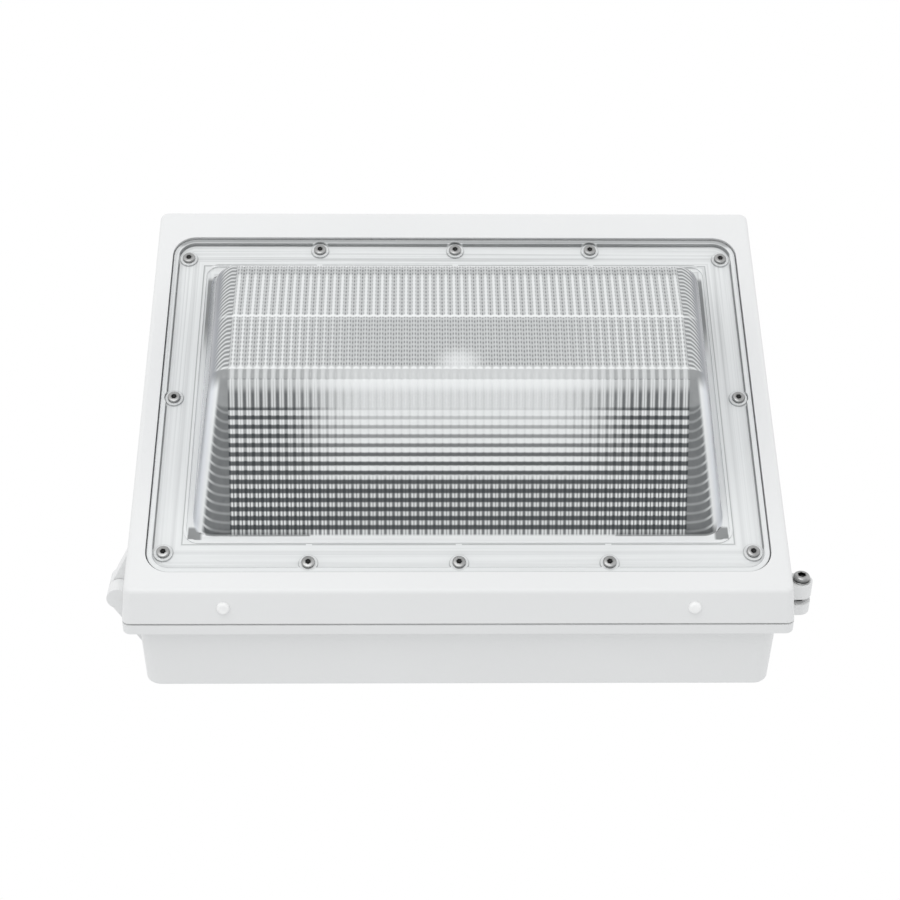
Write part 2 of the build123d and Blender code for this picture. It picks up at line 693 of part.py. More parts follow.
facets = {
    "near": (facet((foot, 0), ridge_place), NEAR_RIB_PITCH),
    "middle": (facet(ridge_place, crease_place), UPPER_RIB_PITCH),
    "upper": (facet(crease_place, shoulder_place), UPPER_RIB_PITCH),
}

with BuildPart() as lens:
    with BuildSketch(face_plane.offset(flange_under)):
        with Locations((0, LENS_CENTRE)):
            RectangleRounded(LENS_WIDTH, LENS_LENGTH, LENS_CORNER)
    extrude(amount=LENS_LAND)
    # raised rim, broken at the screws, and the low ridge round the bulge
    with BuildSketch(face_plane.offset(land_level)):
        with Locations((0, LENS_CENTRE)):
            RectangleRounded(LENS_WIDTH, LENS_LENGTH, LENS_CORNER)
            rim = 2 * LENS_RIM_WIDTH
            RectangleRounded(
                LENS_WIDTH - rim, LENS_LENGTH - rim, LENS_CORNER - LENS_RIM_WIDTH, mode=Mode.SUBTRACT
            )
        with Locations(*lens_screw_places):
            Circle(LENS_BOSS_R + LENS_HOLE_GAP, mode=Mode.SUBTRACT)
    extrude(amount=LENS_RIM_HEIGHT)
    with BuildSketch(face_plane.offset(land_level)):
        with Locations((0, BULGE_CENTRE)):
            outside = 2 * (INNER_RIDGE_GAP + INNER_RIDGE_WIDTH)
            RectangleRounded(BULGE_WIDTH + outside, BULGE_LENGTH + outside, SIDE_ROUND)
            inside = 2 * INNER_RIDGE_GAP
            inside_corner = SIDE_ROUND - INNER_RIDGE_WIDTH
            RectangleRounded(
                BULGE_WIDTH + inside, BULGE_LENGTH + inside, inside_corner, mode=Mode.SUBTRACT
            )
    extrude(amount=INNER_RIDGE_HEIGHT)
    with BuildSketch(face_plane.offset(land_level)):
        with Locations(*lens_screw_places):
            Circle(LENS_BOSS_R)
    extrude(amount=LENS_BOSS_HEIGHT)
    # the bulge, hollow
    add(bulge_body(0, LENS_LAND / 2))
    add(bulge_body(LENS_WALL, LENS_LAND + 2 * LENS_WALL), mode=Mode.SUBTRACT)
    # V flutes up the outside and V ribs across the inside of each facet
    for (middle, direction, length), rib_pitch in facets.values():
        straight = length - 2 * FACET_MARGIN
        along = face_plane.y_dir * direction[0] + face_plane.z_dir * direction[1]
        outwards = face_plane.z_dir * direction[0] - face_plane.y_dir * direction[1]
        centre = profile_plane.from_local_coords(Vector(middle[0], middle[1], 0))
        start = centre - along * (straight / 2)
        with BuildSketch(Plane(origin=start, x_dir=along.cross(outwards), z_dir=along * -1)):
            with BuildLine():
                Polyline(*saw(FLUTE_FIELD, FLUTE_PITCH, FLUTE_DEPTH, FLUTE_DEPTH), close=True)
            make_face()
        extrude(amount=-straight, mode=Mode.SUBTRACT)
        inner = centre - outwards * LENS_WALL
        field = FLUTE_FIELD / 2
        across = Plane(origin=inner, x_dir=along, z_dir=along.cross(outwards * -1))
        with BuildSketch(across):
            with BuildLine():
                Polyline(*saw(straight, rib_pitch, RIB_DEPTH, RIB_DEPTH), close=True)
            make_face()
        extrude(amount=field, both=True, mode=Mode.SUBTRACT)
    with BuildSketch(face_plane.offset(flange_under)):
        with Locations(*lens_screw_places):
            Circle(LENS_SCREW_R + LENS_HOLE_GAP)
    extrude(amount=LENS_LAND + LENS_BOSS_HEIGHT, mode=Mode.SUBTRACT)
keep(lens, "lens")

# ---------------------------------------------------------------- lens seal
with BuildPart() as lens_gasket:
    with BuildSketch(face_plane.offset(ledge_top)):
        with Locations((0, LENS_CENTRE)):
            edge = 2 * LENS_SEAT_GAP
            RectangleRounded(LENS_WIDTH - edge, LENS_LENGTH - edge, LENS_CORNER - LENS_SEAT_GAP)
            RectangleRounded(
                OPENING_WIDTH + edge, OPENING_LENGTH + edge, OPENING_CORNER, mode=Mode.SUBTRACT
            )
        with Locations(*lens_screw_places):
            Circle(LENS_SCREW_R + LENS_HOLE_GAP, mode=Mode.SUBTRACT)
    extrude(amount=LENS_GASKET_THICK)
keep(lens_gasket, "lens_gasket")

# ---------------------------------------------------------------- lens screws
with BuildPart() as lens_screws:
    add(
        socket_screws(
            face_plane.offset(head_seat),
            lens_screw_places,
            (LENS_HEAD_R, LENS_HEAD_HEIGHT),
            (LENS_SCREW_R, LENS_SCREW_LENGTH),
            (LENS_SOCKET, LENS_SOCKET_DEPTH),
        )
    )
keep(lens_screws, "lens_screws")

# ---------------------------------------------------------------- weep plugs
plug_places = [(-PLUG_X, 0), (PLUG_X, 0)]
with BuildPart() as weep_plugs:
    with BuildSketch(plug_plane):
        with Locations(*plug_places):
            Circle(PLUG_HEAD_R)
    extrude(amount=PLUG_HEAD_HEIGHT)
    plug_outwards = Axis(tuple(plug_plane.origin), tuple(plug_plane.z_dir))
    fillet(weep_plugs.edges().group_by(plug_outwards)[-1], PLUG_HEAD_HEIGHT * PLUG_DOME)
    with BuildSketch(plug_plane):
        with Locations(*plug_places):
            Circle(PLUG_HOLE_R)
    extrude(amount=-DOOR_WALL - PLUG_BARB)
    with BuildSketch(plug_plane.offset(-DOOR_WALL - PLUG_BARB / 2)):
        with Locations(*plug_places):
            Circle(PLUG_HOLE_R + PLUG_BARB)
    extrude(amount=-3 * PLUG_BARB)
    chamfer(weep_plugs.edges().group_by(plug_outwards)[0], PLUG_BARB)
keep(weep_plugs, "weep_plugs")

# ---------------------------------------------------------------- hinge pins
door_knuckle_top = 2 * KNUCKLE_LENGTH + KNUCKLE_GAP
clip_level = door_knuckle_top + CLIP_SEAT_GAP
with BuildPart() as hinge_pins:
    for level in hinge_levels.values():
        with BuildSketch(Plane.XY.offset(level + PIN_BLIND)):
            with Locations((axis_x, -SEAM_DEPTH)):
                Circle(PIN_R)
        extrude(amount=door_knuckle_top + PIN_TAIL - PIN_BLIND)
        chamfer(hinge_pins.edges().group_by(Axis.Z)[-1], PIN_CHAMFER)
        with BuildSketch(Plane.XY.offset(level + clip_level)):
            with Locations((axis_x, -SEAM_DEPTH)):
                Circle(CLIP_R)
                Circle(CLIP_NECK_R, mode=Mode.SUBTRACT)
        extrude(amount=CLIP_THICK, mode=Mode.SUBTRACT)
keep(hinge_pins, "hinge_pins")

with BuildPart() as hinge_clips:
    for level in hinge_levels.values():
        with BuildSketch(Plane.XY.offset(level + clip_level)):
            with Locations((axis_x, -SEAM_DEPTH)):
                Circle(CLIP_R)
                Circle(CLIP_NECK_R, mode=Mode.SUBTRACT)
            with Locations((axis_x, -SEAM_DEPTH)):
                Rectangle(
                    2 * CLIP_R, CLIP_OPENING, align=(Align.MAX, Align.CENTER), mode=Mode.SUBTRACT
                )
        extrude(amount=CLIP_THICK)
keep(hinge_clips, "hinge_clips")

# ---------------------------------------------------------------- latches
ear_front = door_ear_back + DOOR_EAR_THICK
with BuildPart() as latch_retainers:
    with BuildSketch(wall_plane(door_ear_back)):
        with Locations((latch_x, -latch_z), (latch_x, latch_z)):
            Circle(RETAINER_R)
            Circle(LATCH_SCREW_R + THREAD_GAP, mode=Mode.SUBTRACT)
    extrude(amount=-RETAINER_THICK)
keep(latch_retainers, "latch_retainers")

head_plane = wall_plane(ear_front + WASHER_THICK)
shank_length = ear_front + WASHER_THICK - flange_front - LATCH_TIP_GAP
for name, level in latch_levels.items():
    with BuildPart() as latch_washer:
        with BuildSketch(wall_plane(ear_front)):
            with Locations((latch_x, level)):
                Circle(WASHER_R)
                Circle(LATCH_SCREW_R + THREAD_GAP, mode=Mode.SUBTRACT)
        extrude(amount=WASHER_THICK)
        chamfer(latch_washer.edges().filter_by(GeomType.CIRCLE).sort_by(SortBy.LENGTH)[-2:], WASHER_CHAMFER)
    keep(latch_washer, "latch_washer_" + name)

    with BuildPart() as latch_screw:
        add(
            socket_screws(
                head_plane,
                [(latch_x, level)],
                (LATCH_HEAD_R, LATCH_HEAD_HEIGHT),
                (LATCH_SCREW_R, shank_length),
                (LATCH_SOCKET, LATCH_SOCKET_DEPTH),
            )
        )
        with BuildSketch(head_plane.offset(-shank_length)):
            with Locations((latch_x, level)):
                Circle(LATCH_TIP_R)
        extrude(amount=-(LATCH_TRAVEL - 2 * LATCH_TIP_GAP))
        chamfer(latch_screw.edges().sort_by(Axis.Y)[-1], LATCH_TIP_CHAMFER)
    keep(latch_screw, "latch_screw_" + name)

# ---------------------------------------------------------------- conduit plugs
for name, entry in conduit_planes.items():
    seat = -CONDUIT_SEAT_DEPTH
    under_head = seat + O_RING_THICK - O_RING_SQUEEZE
    with BuildPart() as conduit_plug:
        with BuildSketch(entry.offset(under_head)):
            Circle(CONDUIT_SEAT_R - 2 * O_RING_SQUEEZE)
        extrude(amount=CONDUIT_HEAD_THICK)
        outwards = Axis(tuple(entry.origin), tuple(entry.z_dir))
        chamfer(conduit_plug.edges().group_by(outwards)[-1], CONDUIT_CHAMFER)
        with BuildSketch(entry.offset(under_head)):
            Circle(CONDUIT_R - CONDUIT_PLUG_GAP)
        extrude(amount=-CONDUIT_PLUG_LENGTH)
        with BuildSketch(entry.offset(under_head + CONDUIT_HEAD_THICK)):
            RegularPolygon(CONDUIT_SOCKET / 2, 6, major_radius=False)
        extrude(amount=-CONDUIT_PLUG_LENGTH, mode=Mode.SUBTRACT)
    keep(conduit_plug, "conduit_plug_" + name)

with BuildPart() as conduit_plug_seals:
    for entry in conduit_planes.values():
        with BuildSketch(entry.offset(-CONDUIT_SEAT_DEPTH)):
            Circle(CONDUIT_R + O_RING_THICK)
            Circle(CONDUIT_R, mode=Mode.SUBTRACT)
        extrude(amount=O_RING_THICK - O_RING_SQUEEZE)
keep(conduit_plug_seals, "conduit_plug_seals")

# ---------------------------------------------------------------- gear tray
half_rise = BRACKET_LENGTH / 2 * sin(tilt)
half_run = BRACKET_LENGTH / 2 * cos(tilt)
bracket_feet = corners(BRACKET_FOOT_X, 2 * half_run + BRACKET_FOOT, (0, BRACKET_CENTRE_Z))
with BuildPart() as gear_tray:
    with BuildSketch(wall_plane(tray_back)):
        RectangleRounded(tray_width, tray_height, POST_R)
    extrude(amount=TRAY_THICK)
    with BuildSketch(wall_plane(tray_back)):
        for side in (-1, 1):
            with Locations((0, side * (tray_height - TRAY_THICK) / 2)):
                Rectangle(tray_width - 4 * POST_R, TRAY_THICK)
    extrude(amount=-TRAY_FOLD)
    with BuildSketch(wall_plane(tray_back)):
        with GridLocations(tray_post_x, tray_post_z, 2, 2):
            Circle(SMALL_SCREW_R + LENS_HOLE_GAP)
        with Locations((TERMINAL_X, BRACKET_CENTRE_Z - BRACKET_LENGTH / 2 - 4 * POST_R)):
            SlotOverall(TERMINAL_LENGTH, 2 * POST_R)
        with Locations(*bracket_feet):
            Circle(SMALL_SCREW_R + THREAD_GAP)
    extrude(amount=TRAY_THICK, mode=Mode.SUBTRACT)
keep(gear_tray, "gear_tray")

with BuildPart() as gear_tray_screws:
    add(small_screws(wall_plane(tray_front), corners(tray_post_x, tray_post_z), SMALL_SCREW_LENGTH))
keep(gear_tray_screws, "gear_tray_screws")

# ---------------------------------------------------------------- light engine
# side view of the bent bracket: local x up the wall, local y out from the tray
bracket_side = Plane(origin=(0, -tray_front, BRACKET_CENTRE_Z), x_dir=(0, 0, 1), z_dir=(1, 0, 0))
sheet = BRACKET_THICK / 2
# outer face of the sloping plate of the bracket, parallel to the face of the door
plate_plane = Plane(
    origin=(0, -(tray_front + BRACKET_LOW + half_rise), BRACKET_CENTRE_Z),
    x_dir=(1, 0, 0),
    z_dir=tuple(face_plane.z_dir),
).offset(BRACKET_THICK / 2)
board_screw_places = corners(BOARD_SCREW_X, BOARD_SCREW_V)
reflector_screw_places = corners(REFLECTOR_SCREW_X, REFLECTOR_SCREW_V)
with BuildPart() as led_bracket:
    with BuildSketch(bracket_side):
        with BuildLine():
            Polyline(
                (-half_run - BRACKET_FOOT, sheet),
                (-half_run, sheet),
                (-half_run, BRACKET_LOW),
                (half_run, BRACKET_LOW + 2 * half_rise),
                (half_run, sheet),
                (half_run + BRACKET_FOOT, sheet),
            )
        trace(line_width=BRACKET_THICK)
    extrude(amount=BRACKET_WIDTH / 2, both=True)
    with BuildSketch(wall_plane(tray_front)):
        with Locations(*bracket_feet):
            Circle(SMALL_SCREW_R + LENS_HOLE_GAP)
    extrude(amount=BRACKET_THICK, mode=Mode.SUBTRACT)
    with BuildSketch(plate_plane):
        with Locations(*board_screw_places):
            Circle(SMALL_SCREW_R + THREAD_GAP)
        with Locations(*reflector_screw_places):
            Circle(SMALL_SCREW_R + THREAD_GAP)
    extrude(amount=-BRACKET_THICK, mode=Mode.SUBTRACT)
keep(led_bracket, "led_bracket")

with BuildPart() as led_bracket_screws:
    foot_top = wall_plane(tray_front + BRACKET_THICK)
    add(small_screws(foot_top, bracket_feet, BRACKET_THICK + TRAY_THICK + SCREW_TIP_GAP))
keep(led_bracket_screws, "led_bracket_screws")

with BuildPart() as thermal_pad:
    with BuildSketch(plate_plane):
        Rectangle(BOARD_WIDTH, BOARD_LENGTH)
        with Locations(*board_screw_places):
            Circle(SMALL_SCREW_R + LENS_HOLE_GAP, mode=Mode.SUBTRACT)
    extrude(amount=PAD_THICK)
keep(thermal_pad, "thermal_pad")

board_back = plate_plane.offset(PAD_THICK)
board_front = board_back.offset(BOARD_THICK)
with BuildPart() as led_board:
    with BuildSketch(board_back):
        RectangleRounded(BOARD_WIDTH, BOARD_LENGTH, SMALL_SCREW_R)
        with Locations(*board_screw_places):
            Circle(SMALL_SCREW_R + LENS_HOLE_GAP, mode=Mode.SUBTRACT)
    extrude(amount=BOARD_THICK)
keep(led_board, "led_board")

with BuildPart() as led_chips:
    with BuildSketch(board_front):
        with GridLocations(LED_PITCH_X, LED_PITCH_V, LED_COLUMNS, LED_ROWS):
            Rectangle(LED_SIZE, LED_SIZE)
    extrude(amount=LED_THICK)
keep(led_chips, "led_chips")

with BuildPart() as led_board_screws:
    reach = BOARD_THICK + PAD_THICK + BRACKET_THICK + SCREW_TIP_GAP
    add(small_screws(board_front, board_screw_places, reach))
keep(led_board_screws, "led_board_screws")

with BuildPart() as board_connector:
    with BuildSketch(board_front):
        with Locations((CONNECTOR_X, 0)):
            Rectangle(CONNECTOR_LENGTH, CONNECTOR_WIDTH)
    extrude(amount=CONNECTOR_HEIGHT)
    with BuildSketch(board_front.offset(CONNECTOR_HEIGHT)):
        with Locations((CONNECTOR_X, -CONNECTOR_WIDTH / 4), (CONNECTOR_X, CONNECTOR_WIDTH / 4)):
            Rectangle(CONNECTOR_LENGTH / 2, CONNECTOR_WIDTH / 4)
    extrude(amount=-CONNECTOR_HEIGHT / 2, mode=Mode.SUBTRACT)
keep(board_connector, "board_connector")

with BuildPart() as reflector:
    base_width = BOARD_WIDTH + 2 * REFLECTOR_GAP
    base_length = BOARD_LENGTH + 2 * REFLECTOR_GAP
    flange = 2 * REFLECTOR_FLANGE
    flare = 2 * REFLECTOR_FLARE
    sheet_sides = 2 * REFLECTOR_THICK
    with BuildSketch(plate_plane):
        RectangleRounded(base_width + flange, base_length + flange, REFLECTOR_GAP)
    extrude(amount=REFLECTOR_THICK)
    with BuildSketch(plate_plane):
        Rectangle(base_width + sheet_sides, base_length + sheet_sides)
    with BuildSketch(plate_plane.offset(REFLECTOR_HEIGHT)):
        Rectangle(base_width + flare + sheet_sides, base_length + flare + sheet_sides)
    loft()
    with BuildSketch(plate_plane):
        Rectangle(base_width, base_length)
    with BuildSketch(plate_plane.offset(REFLECTOR_HEIGHT)):
        Rectangle(base_width + flare, base_length + flare)
    loft(mode=Mode.SUBTRACT)
    with BuildSketch(plate_plane):
        with Locations(*reflector_screw_places):
            Circle(SMALL_SCREW_R + LENS_HOLE_GAP)
    extrude(amount=REFLECTOR_THICK, mode=Mode.SUBTRACT)
keep(reflector, "reflector")

with BuildPart() as reflector_screws:
    reach = REFLECTOR_THICK + BRACKET_THICK + SCREW_TIP_GAP
    add(small_screws(plate_plane.offset(REFLECTOR_THICK), reflector_screw_places, reach))
keep(reflector_screws, "reflector_screws")

# ---------------------------------------------------------------- driver
with BuildPart() as driver:
    with BuildSketch(wall_plane(pad_top)):
        with Locations((driver_x, 0)):
            RectangleRounded(DRIVER_LENGTH, DRIVER_WIDTH, DRIVER_CORNER)
    extrude(amount=DRIVER_HEIGHT)
    fillet(driver.edges().group_by(Axis.Y)[0], DRIVER_CORNER / 2)
    with BuildSketch(wall_plane(pad_top)):
        with Locations((driver_x, 0)):
            SlotOverall(driver_screw_x + 2 * POST_R, 2 * POST_R)
    extrude(amount=DRIVER_EAR_THICK)
    with BuildSketch(wall_plane(pad_top)):
        with Locations(*driver_screw_places):
            Circle(SMALL_SCREW_R + LENS_HOLE_GAP)
    extrude(amount=DRIVER_EAR_THICK, mode=Mode.SUBTRACT)
keep(driver, "driver")

with BuildPart() as driver_screws:
    ear_top = wall_plane(pad_top + DRIVER_EAR_THICK)
    add(small_screws(ear_top, driver_screw_places, DRIVER_EAR_THICK + pad_screw_length))
keep(driver_screws, "driver_screws")

# ---------------------------------------------------------------- terminals and earth
with BuildPart() as terminal_block:
    with BuildSketch(wall_plane(pad_top)):
        with Locations((TERMINAL_X, 0)):
            Rectangle(TERMINAL_LENGTH, TERMINAL_WIDTH)
    extrude(amount=TERMINAL_FOOT)
    with BuildSketch(wall_plane(pad_top)):
        with Locations((TERMINAL_X, 0)):
            Rectangle(TERMINAL_WAYS * TERMINAL_PITCH, TERMINAL_WIDTH)
    extrude(amount=TERMINAL_HEIGHT)
    with BuildSketch(wall_plane(pad_top)):
        with Locations(*terminal_screw_places):
            Circle(SMALL_SCREW_R + LENS_HOLE_GAP)
    extrude(amount=TERMINAL_FOOT, mode=Mode.SUBTRACT)
    # wire entries through each way, and the wells over them for the clamp screws
    with BuildSketch(Plane.XZ.offset(pad_top + TERMINAL_HEIGHT)):
        with Locations((TERMINAL_X, 0)):
            with GridLocations(TERMINAL_PITCH, 1, TERMINAL_WAYS, 1):
                Circle(TERMINAL_HOLE_R)
    extrude(amount=-TERMINAL_HEIGHT / 2, mode=Mode.SUBTRACT)
    with BuildSketch(Plane.XY.offset(-TERMINAL_WIDTH / 2)):
        with Locations((TERMINAL_X, -pad_top - TERMINAL_HEIGHT / 2)):
            with GridLocations(TERMINAL_PITCH, 1, TERMINAL_WAYS, 1):
                Circle(TERMINAL_WIRE_R)
    extrude(amount=TERMINAL_WIDTH, mode=Mode.SUBTRACT)
keep(terminal_block, "terminal_block")

with BuildPart() as terminal_clamps:
    clamp_top = pad_top + TERMINAL_HEIGHT - SCREW_TIP_GAP
    with BuildSketch(Plane.XZ.offset(clamp_top)):
        with Locations((TERMINAL_X, 0)):
            with GridLocations(TERMINAL_PITCH, 1, TERMINAL_WAYS, 1):
                Circle(TERMINAL_HOLE_R - THREAD_GAP)
    extrude(amount=-TERMINAL_HEIGHT / 2 + SCREW_TIP_GAP)
    with BuildSketch(Plane.XZ.offset(clamp_top)):
        with Locations((TERMINAL_X, 0)):
            with GridLocations(TERMINAL_PITCH, 1, TERMINAL_WAYS, 1):
                Rectangle(TERMINAL_HOLE_R / 3, 3 * TERMINAL_HOLE_R)
    extrude(amount=-SCREW_TIP_GAP, mode=Mode.SUBTRACT)
keep(terminal_clamps, "terminal_clamps")

with BuildPart() as terminal_screws:
    foot_top = wall_plane(pad_top + TERMINAL_FOOT)
    add(small_screws(foot_top, terminal_screw_places, TERMINAL_FOOT + pad_screw_length))
keep(terminal_screws, "terminal_screws")

with BuildPart() as earth_screw:
    add(small_screws(wall_plane(pad_top), [(EARTH_X, EARTH_Z)], pad_screw_length))
keep(earth_screw, "earth_screw")
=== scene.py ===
"""Looks of a wall pack light: a white die-cast box whose hinged door carries a clear prismatic lens."""

import math

import bmesh
import bpy
import numpy as np
from mathutils import Matrix, Vector


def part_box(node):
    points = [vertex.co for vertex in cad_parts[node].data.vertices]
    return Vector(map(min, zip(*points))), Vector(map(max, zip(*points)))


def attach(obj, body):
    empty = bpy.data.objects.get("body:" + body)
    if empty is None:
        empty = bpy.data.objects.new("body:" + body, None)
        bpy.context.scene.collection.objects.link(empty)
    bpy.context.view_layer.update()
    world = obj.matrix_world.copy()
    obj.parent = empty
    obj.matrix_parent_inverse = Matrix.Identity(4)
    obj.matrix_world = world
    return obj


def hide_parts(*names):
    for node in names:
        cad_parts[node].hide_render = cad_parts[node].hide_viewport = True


bl_info = {
    "name": "Wall Pack Light",
    "version": (1, 0, 0),
    "blender": (4, 5, 0),
    "location": "3D View > Sidebar > Wall Pack",
    "description": "Builds the looks of a wall pack light around its packed solids",
    "category": "Add Mesh",
}

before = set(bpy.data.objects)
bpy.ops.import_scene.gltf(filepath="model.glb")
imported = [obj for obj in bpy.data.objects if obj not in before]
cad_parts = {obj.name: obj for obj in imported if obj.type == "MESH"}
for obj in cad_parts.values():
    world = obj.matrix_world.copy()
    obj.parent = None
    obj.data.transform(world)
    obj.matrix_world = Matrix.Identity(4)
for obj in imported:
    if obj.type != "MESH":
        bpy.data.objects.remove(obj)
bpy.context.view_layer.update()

# ---------------------------------------------------------------- the sloping face
# Sizes in millimetres, in the face's own directions: u across, v up the face, w out of it.
# The face's plane stands LOW_DEPTH off the wall at HALF_FACE below the middle.
MM = 0.001
TILT = math.radians(24.0)
LOW_DEPTH, HALF_FACE = 70.9, 122.0
FACE_MIDDLE = Vector((0.0, -(LOW_DEPTH + HALF_FACE * math.tan(TILT)), 0.0))
UP_FACE = Vector((0.0, -math.sin(TILT), math.cos(TILT)))
OFF_FACE = Vector((0.0, -math.cos(TILT), -math.sin(TILT)))
FACE_AXES = np.array([(1.0, 0.0, 0.0), tuple(UP_FACE), tuple(OFF_FACE)])
FACE_START = np.array(tuple(FACE_MIDDLE))

# The flange of the lens and the seats of its screws.
LAND = -3.8
FLANGE_UNDER = -7.0
FLANGE_HALF = (171.0, 116.0)
FLANGE_CENTRE = -5.0
FLANGE_CORNER = 13.0
HEAD_SEAT = -2.8
SCREW_CENTRE = -5.4
SCREW_SIDE_X, SCREW_CORNER_X, SCREW_MIDDLE_X = 163.5, 162.0, 82.5
SCREW_CORNER_ROW, SCREW_ROW = 102.5, 109.0
SCREW_PLACES = (
    [(side * SCREW_SIDE_X, SCREW_CENTRE) for side in (-1, 1)]
    + [(side * SCREW_CORNER_X, SCREW_CENTRE + row * SCREW_CORNER_ROW) for side in (-1, 1) for row in (-1, 1)]
    + [(across * SCREW_MIDDLE_X, SCREW_CENTRE + row * SCREW_ROW) for across in (-1, 0, 1) for row in (-1, 1)]
)

# The bulge: its side view, the reach of the rounding at its bends, its facets' lengths and its drafted
# sides. FIELD is half the width of the ribs and flutes.
PROFILE = ((-97.2, -3.8), (-31.5, 56.0), (10.0, 56.0), (51.0, 49.2), (88.2, -3.8))
BLENDS = (3.1, 0.6, 2.7)
NEAR_LENGTH, MIDDLE_LENGTH, UPPER_LENGTH = math.dist(PROFILE[0], PROFILE[1]), 41.5, 41.56
NEAR_CLIMB = PROFILE[1][1] - PROFILE[0][1]
RIDGE_LENGTH = 16.8
SIDE = 147.3
DRAFT = math.radians(11.0)
FIELD = 126.0
LADDER_FOOT = -25.5


def off_face(u, v, w):
    """Points of the face's own directions as places in the room, in metres."""
    flat = np.stack(np.broadcast_arrays(u, v, w), axis=-1).astype(float)
    return (flat @ FACE_AXES + FACE_START) * MM


def on_face(places):
    """Places in the room, in metres, as points of the face's own directions."""
    return (np.asarray(places) / MM - FACE_START) @ FACE_AXES.T


# ---------------------------------------------------------------- finishes
def maths(operation, swapped=False):
    """A method that joins a signal and one other value in a Math node."""

    def method(self, other):
        return self.sum_with(operation, *((other, self) if swapped else (self, other)))

    return method


class Signal:
    """An output of a shader node that can be used in sums."""

    def __init__(self, tree, socket):
        self.tree = tree
        self.socket = socket

    def sum_with(self, operation, *values):
        made = new_node(self.tree, "ShaderNodeMath", {"operation": operation}, dict(enumerate(values)))
        return Signal(self.tree, made.outputs[0])

    __add__, __radd__ = maths("ADD"), maths("ADD", swapped=True)
    __sub__, __rsub__ = maths("SUBTRACT"), maths("SUBTRACT", swapped=True)
    __mul__, __rmul__ = maths("MULTIPLY"), maths("MULTIPLY", swapped=True)
    __truediv__, __pow__ = maths("DIVIDE"), maths("POWER")
    most, least = maths("MAXIMUM"), maths("MINIMUM")

    def __abs__(self):
        return self.sum_with("ABSOLUTE", self)

    def fraction(self):
        return self.sum_with("FRACT", self)

    def rise(self, start, end):
        """0 up to start, 1 from end on, a soft step between them."""
        sockets = {"Value": self, "From Min": start, "From Max": end}
        made = new_node(self.tree, "ShaderNodeMapRange", {"interpolation_type": "SMOOTHSTEP"}, sockets)
        return Signal(self.tree, made.outputs[0])

    def fall(self, start, end):
        """1 up to start, 0 from end on."""
        return 1.0 - self.rise(start, end)

    def near(self, centre, reach, soft):
        """1 within reach of a value, with a soft edge."""
        return abs(self - centre).fall(reach, reach + soft)

    def stripe(self, centre, width, soft=0.06):
        """1 on a stripe that comes back at every whole number, its width a share of the pitch."""
        gap = abs((self - (centre - 100.5)).fraction() - 0.5)
        return gap.fall(0.5 * width - soft, 0.5 * width + soft)

    def towards(self, other, share):
        """A value that goes over to another one."""
        return self + (other - self) * share


def new_node(tree, kind, settings=None, sockets=None):
    """A node with its settings, and with links or plain values in its sockets."""
    made = tree.nodes.new(kind)
    for name, value in (settings or {}).items():
        setattr(made, name, value)
    for name, value in (sockets or {}).items():
        place = made.inputs[name]
        value = value.socket if isinstance(value, Signal) else value
        if isinstance(value, bpy.types.NodeSocket):
            tree.links.new(value, place)
            continue
        if hasattr(value, "__len__") and len(value) == 3 and place.type == "RGBA":
            value = (*value, 1.0)
        place.default_value = value
    return made


def far(one, two):
    """Distance of a point from its two steps at right angles."""
    return (one * one + two * two) ** 0.5


def shaded(colour, share):
    """A colour made darker."""
    return tuple(share * part for part in colour)


class Finish:
    """A procedural material under construction."""

    def __init__(self, name):
        self.material = bpy.data.materials.new(name)
        self.material.use_nodes = True
        self.tree = self.material.node_tree
        self.tree.nodes.clear()
        self.output = self.tree.nodes.new("ShaderNodeOutputMaterial")

    def node(self, kind, settings=None, sockets=None, out=0):
        return Signal(self.tree, new_node(self.tree, kind, settings, sockets).outputs[out])

    def place(self):
        return self.node("ShaderNodeTexCoord", out="Object")

    def stretched(self, scale):
        return self.node("ShaderNodeMapping", sockets={"Vector": self.place(), "Scale": scale})

    def noise(self, scale, detail=3.0, vector=None):
        sockets = {"Vector": vector or self.place(), "Scale": scale, "Detail": detail}
        return self.node("ShaderNodeTexNoise", sockets=sockets, out="Fac")

    def cells(self, scale):
        sockets = {"Vector": self.place(), "Scale": scale}
        return self.node("ShaderNodeTexVoronoi", sockets=sockets, out="Distance")

    def attribute(self, name):
        return self.node("ShaderNodeAttribute", {"attribute_name": name}, out="Fac")

    def blend(self, share, first, second):
        sockets = {0: share, 6: first, 7: second}
        return self.node("ShaderNodeMix", {"data_type": "RGBA"}, sockets, out=2)

    def bump(self, height, distance):
        sockets = {"Height": height, "Distance": distance, "Strength": 1.0}
        return self.node("ShaderNodeBump", sockets=sockets, out="Normal")

    def surface(self, **sockets):
        """Ends the material in a Principled surface, whose sockets are named in small letters."""
        names = {name.replace("_", " ").title().replace("Ior", "IOR"): sockets[name] for name in sockets}
        shader = self.node("ShaderNodeBsdfPrincipled", {"distribution": "MULTI_GGX"}, names)
        self.tree.links.new(shader.socket, self.output.inputs["Surface"])
        return shader

    def mixed(self, share, first, second):
        """Ends the material in a mix of two surfaces."""
        mix = self.node("ShaderNodeMixShader", sockets={0: share, 1: first, 2: second})
        self.tree.links.new(mix.socket, self.output.inputs["Surface"])


def powder_coat(colour, roughness, peel, name="white powder coat"):
    """Semi-gloss polyester powder: fine orange peel, faint cloudiness, a few dust nibs."""
    finish = Finish(name)
    cloud = finish.noise(9.0, 4.0)
    speckle = finish.noise(2600.0, 2.0)
    skin = finish.noise(520.0, 2.0) + 0.35 * finish.noise(1500.0, 1.0)
    nibs = 1.0 - finish.cells(70.0).rise(0.0, 0.02)
    finish.surface(
        base_color=finish.blend(cloud.rise(0.35, 0.7), shaded(colour, 0.985), colour),
        roughness=roughness + 0.1 * (speckle - 0.5) + 0.06 * (cloud - 0.5),
        normal=finish.bump(skin + nibs * 1.5, peel * MM),
        specular_ior_level=0.45,
    )
    return finish.material


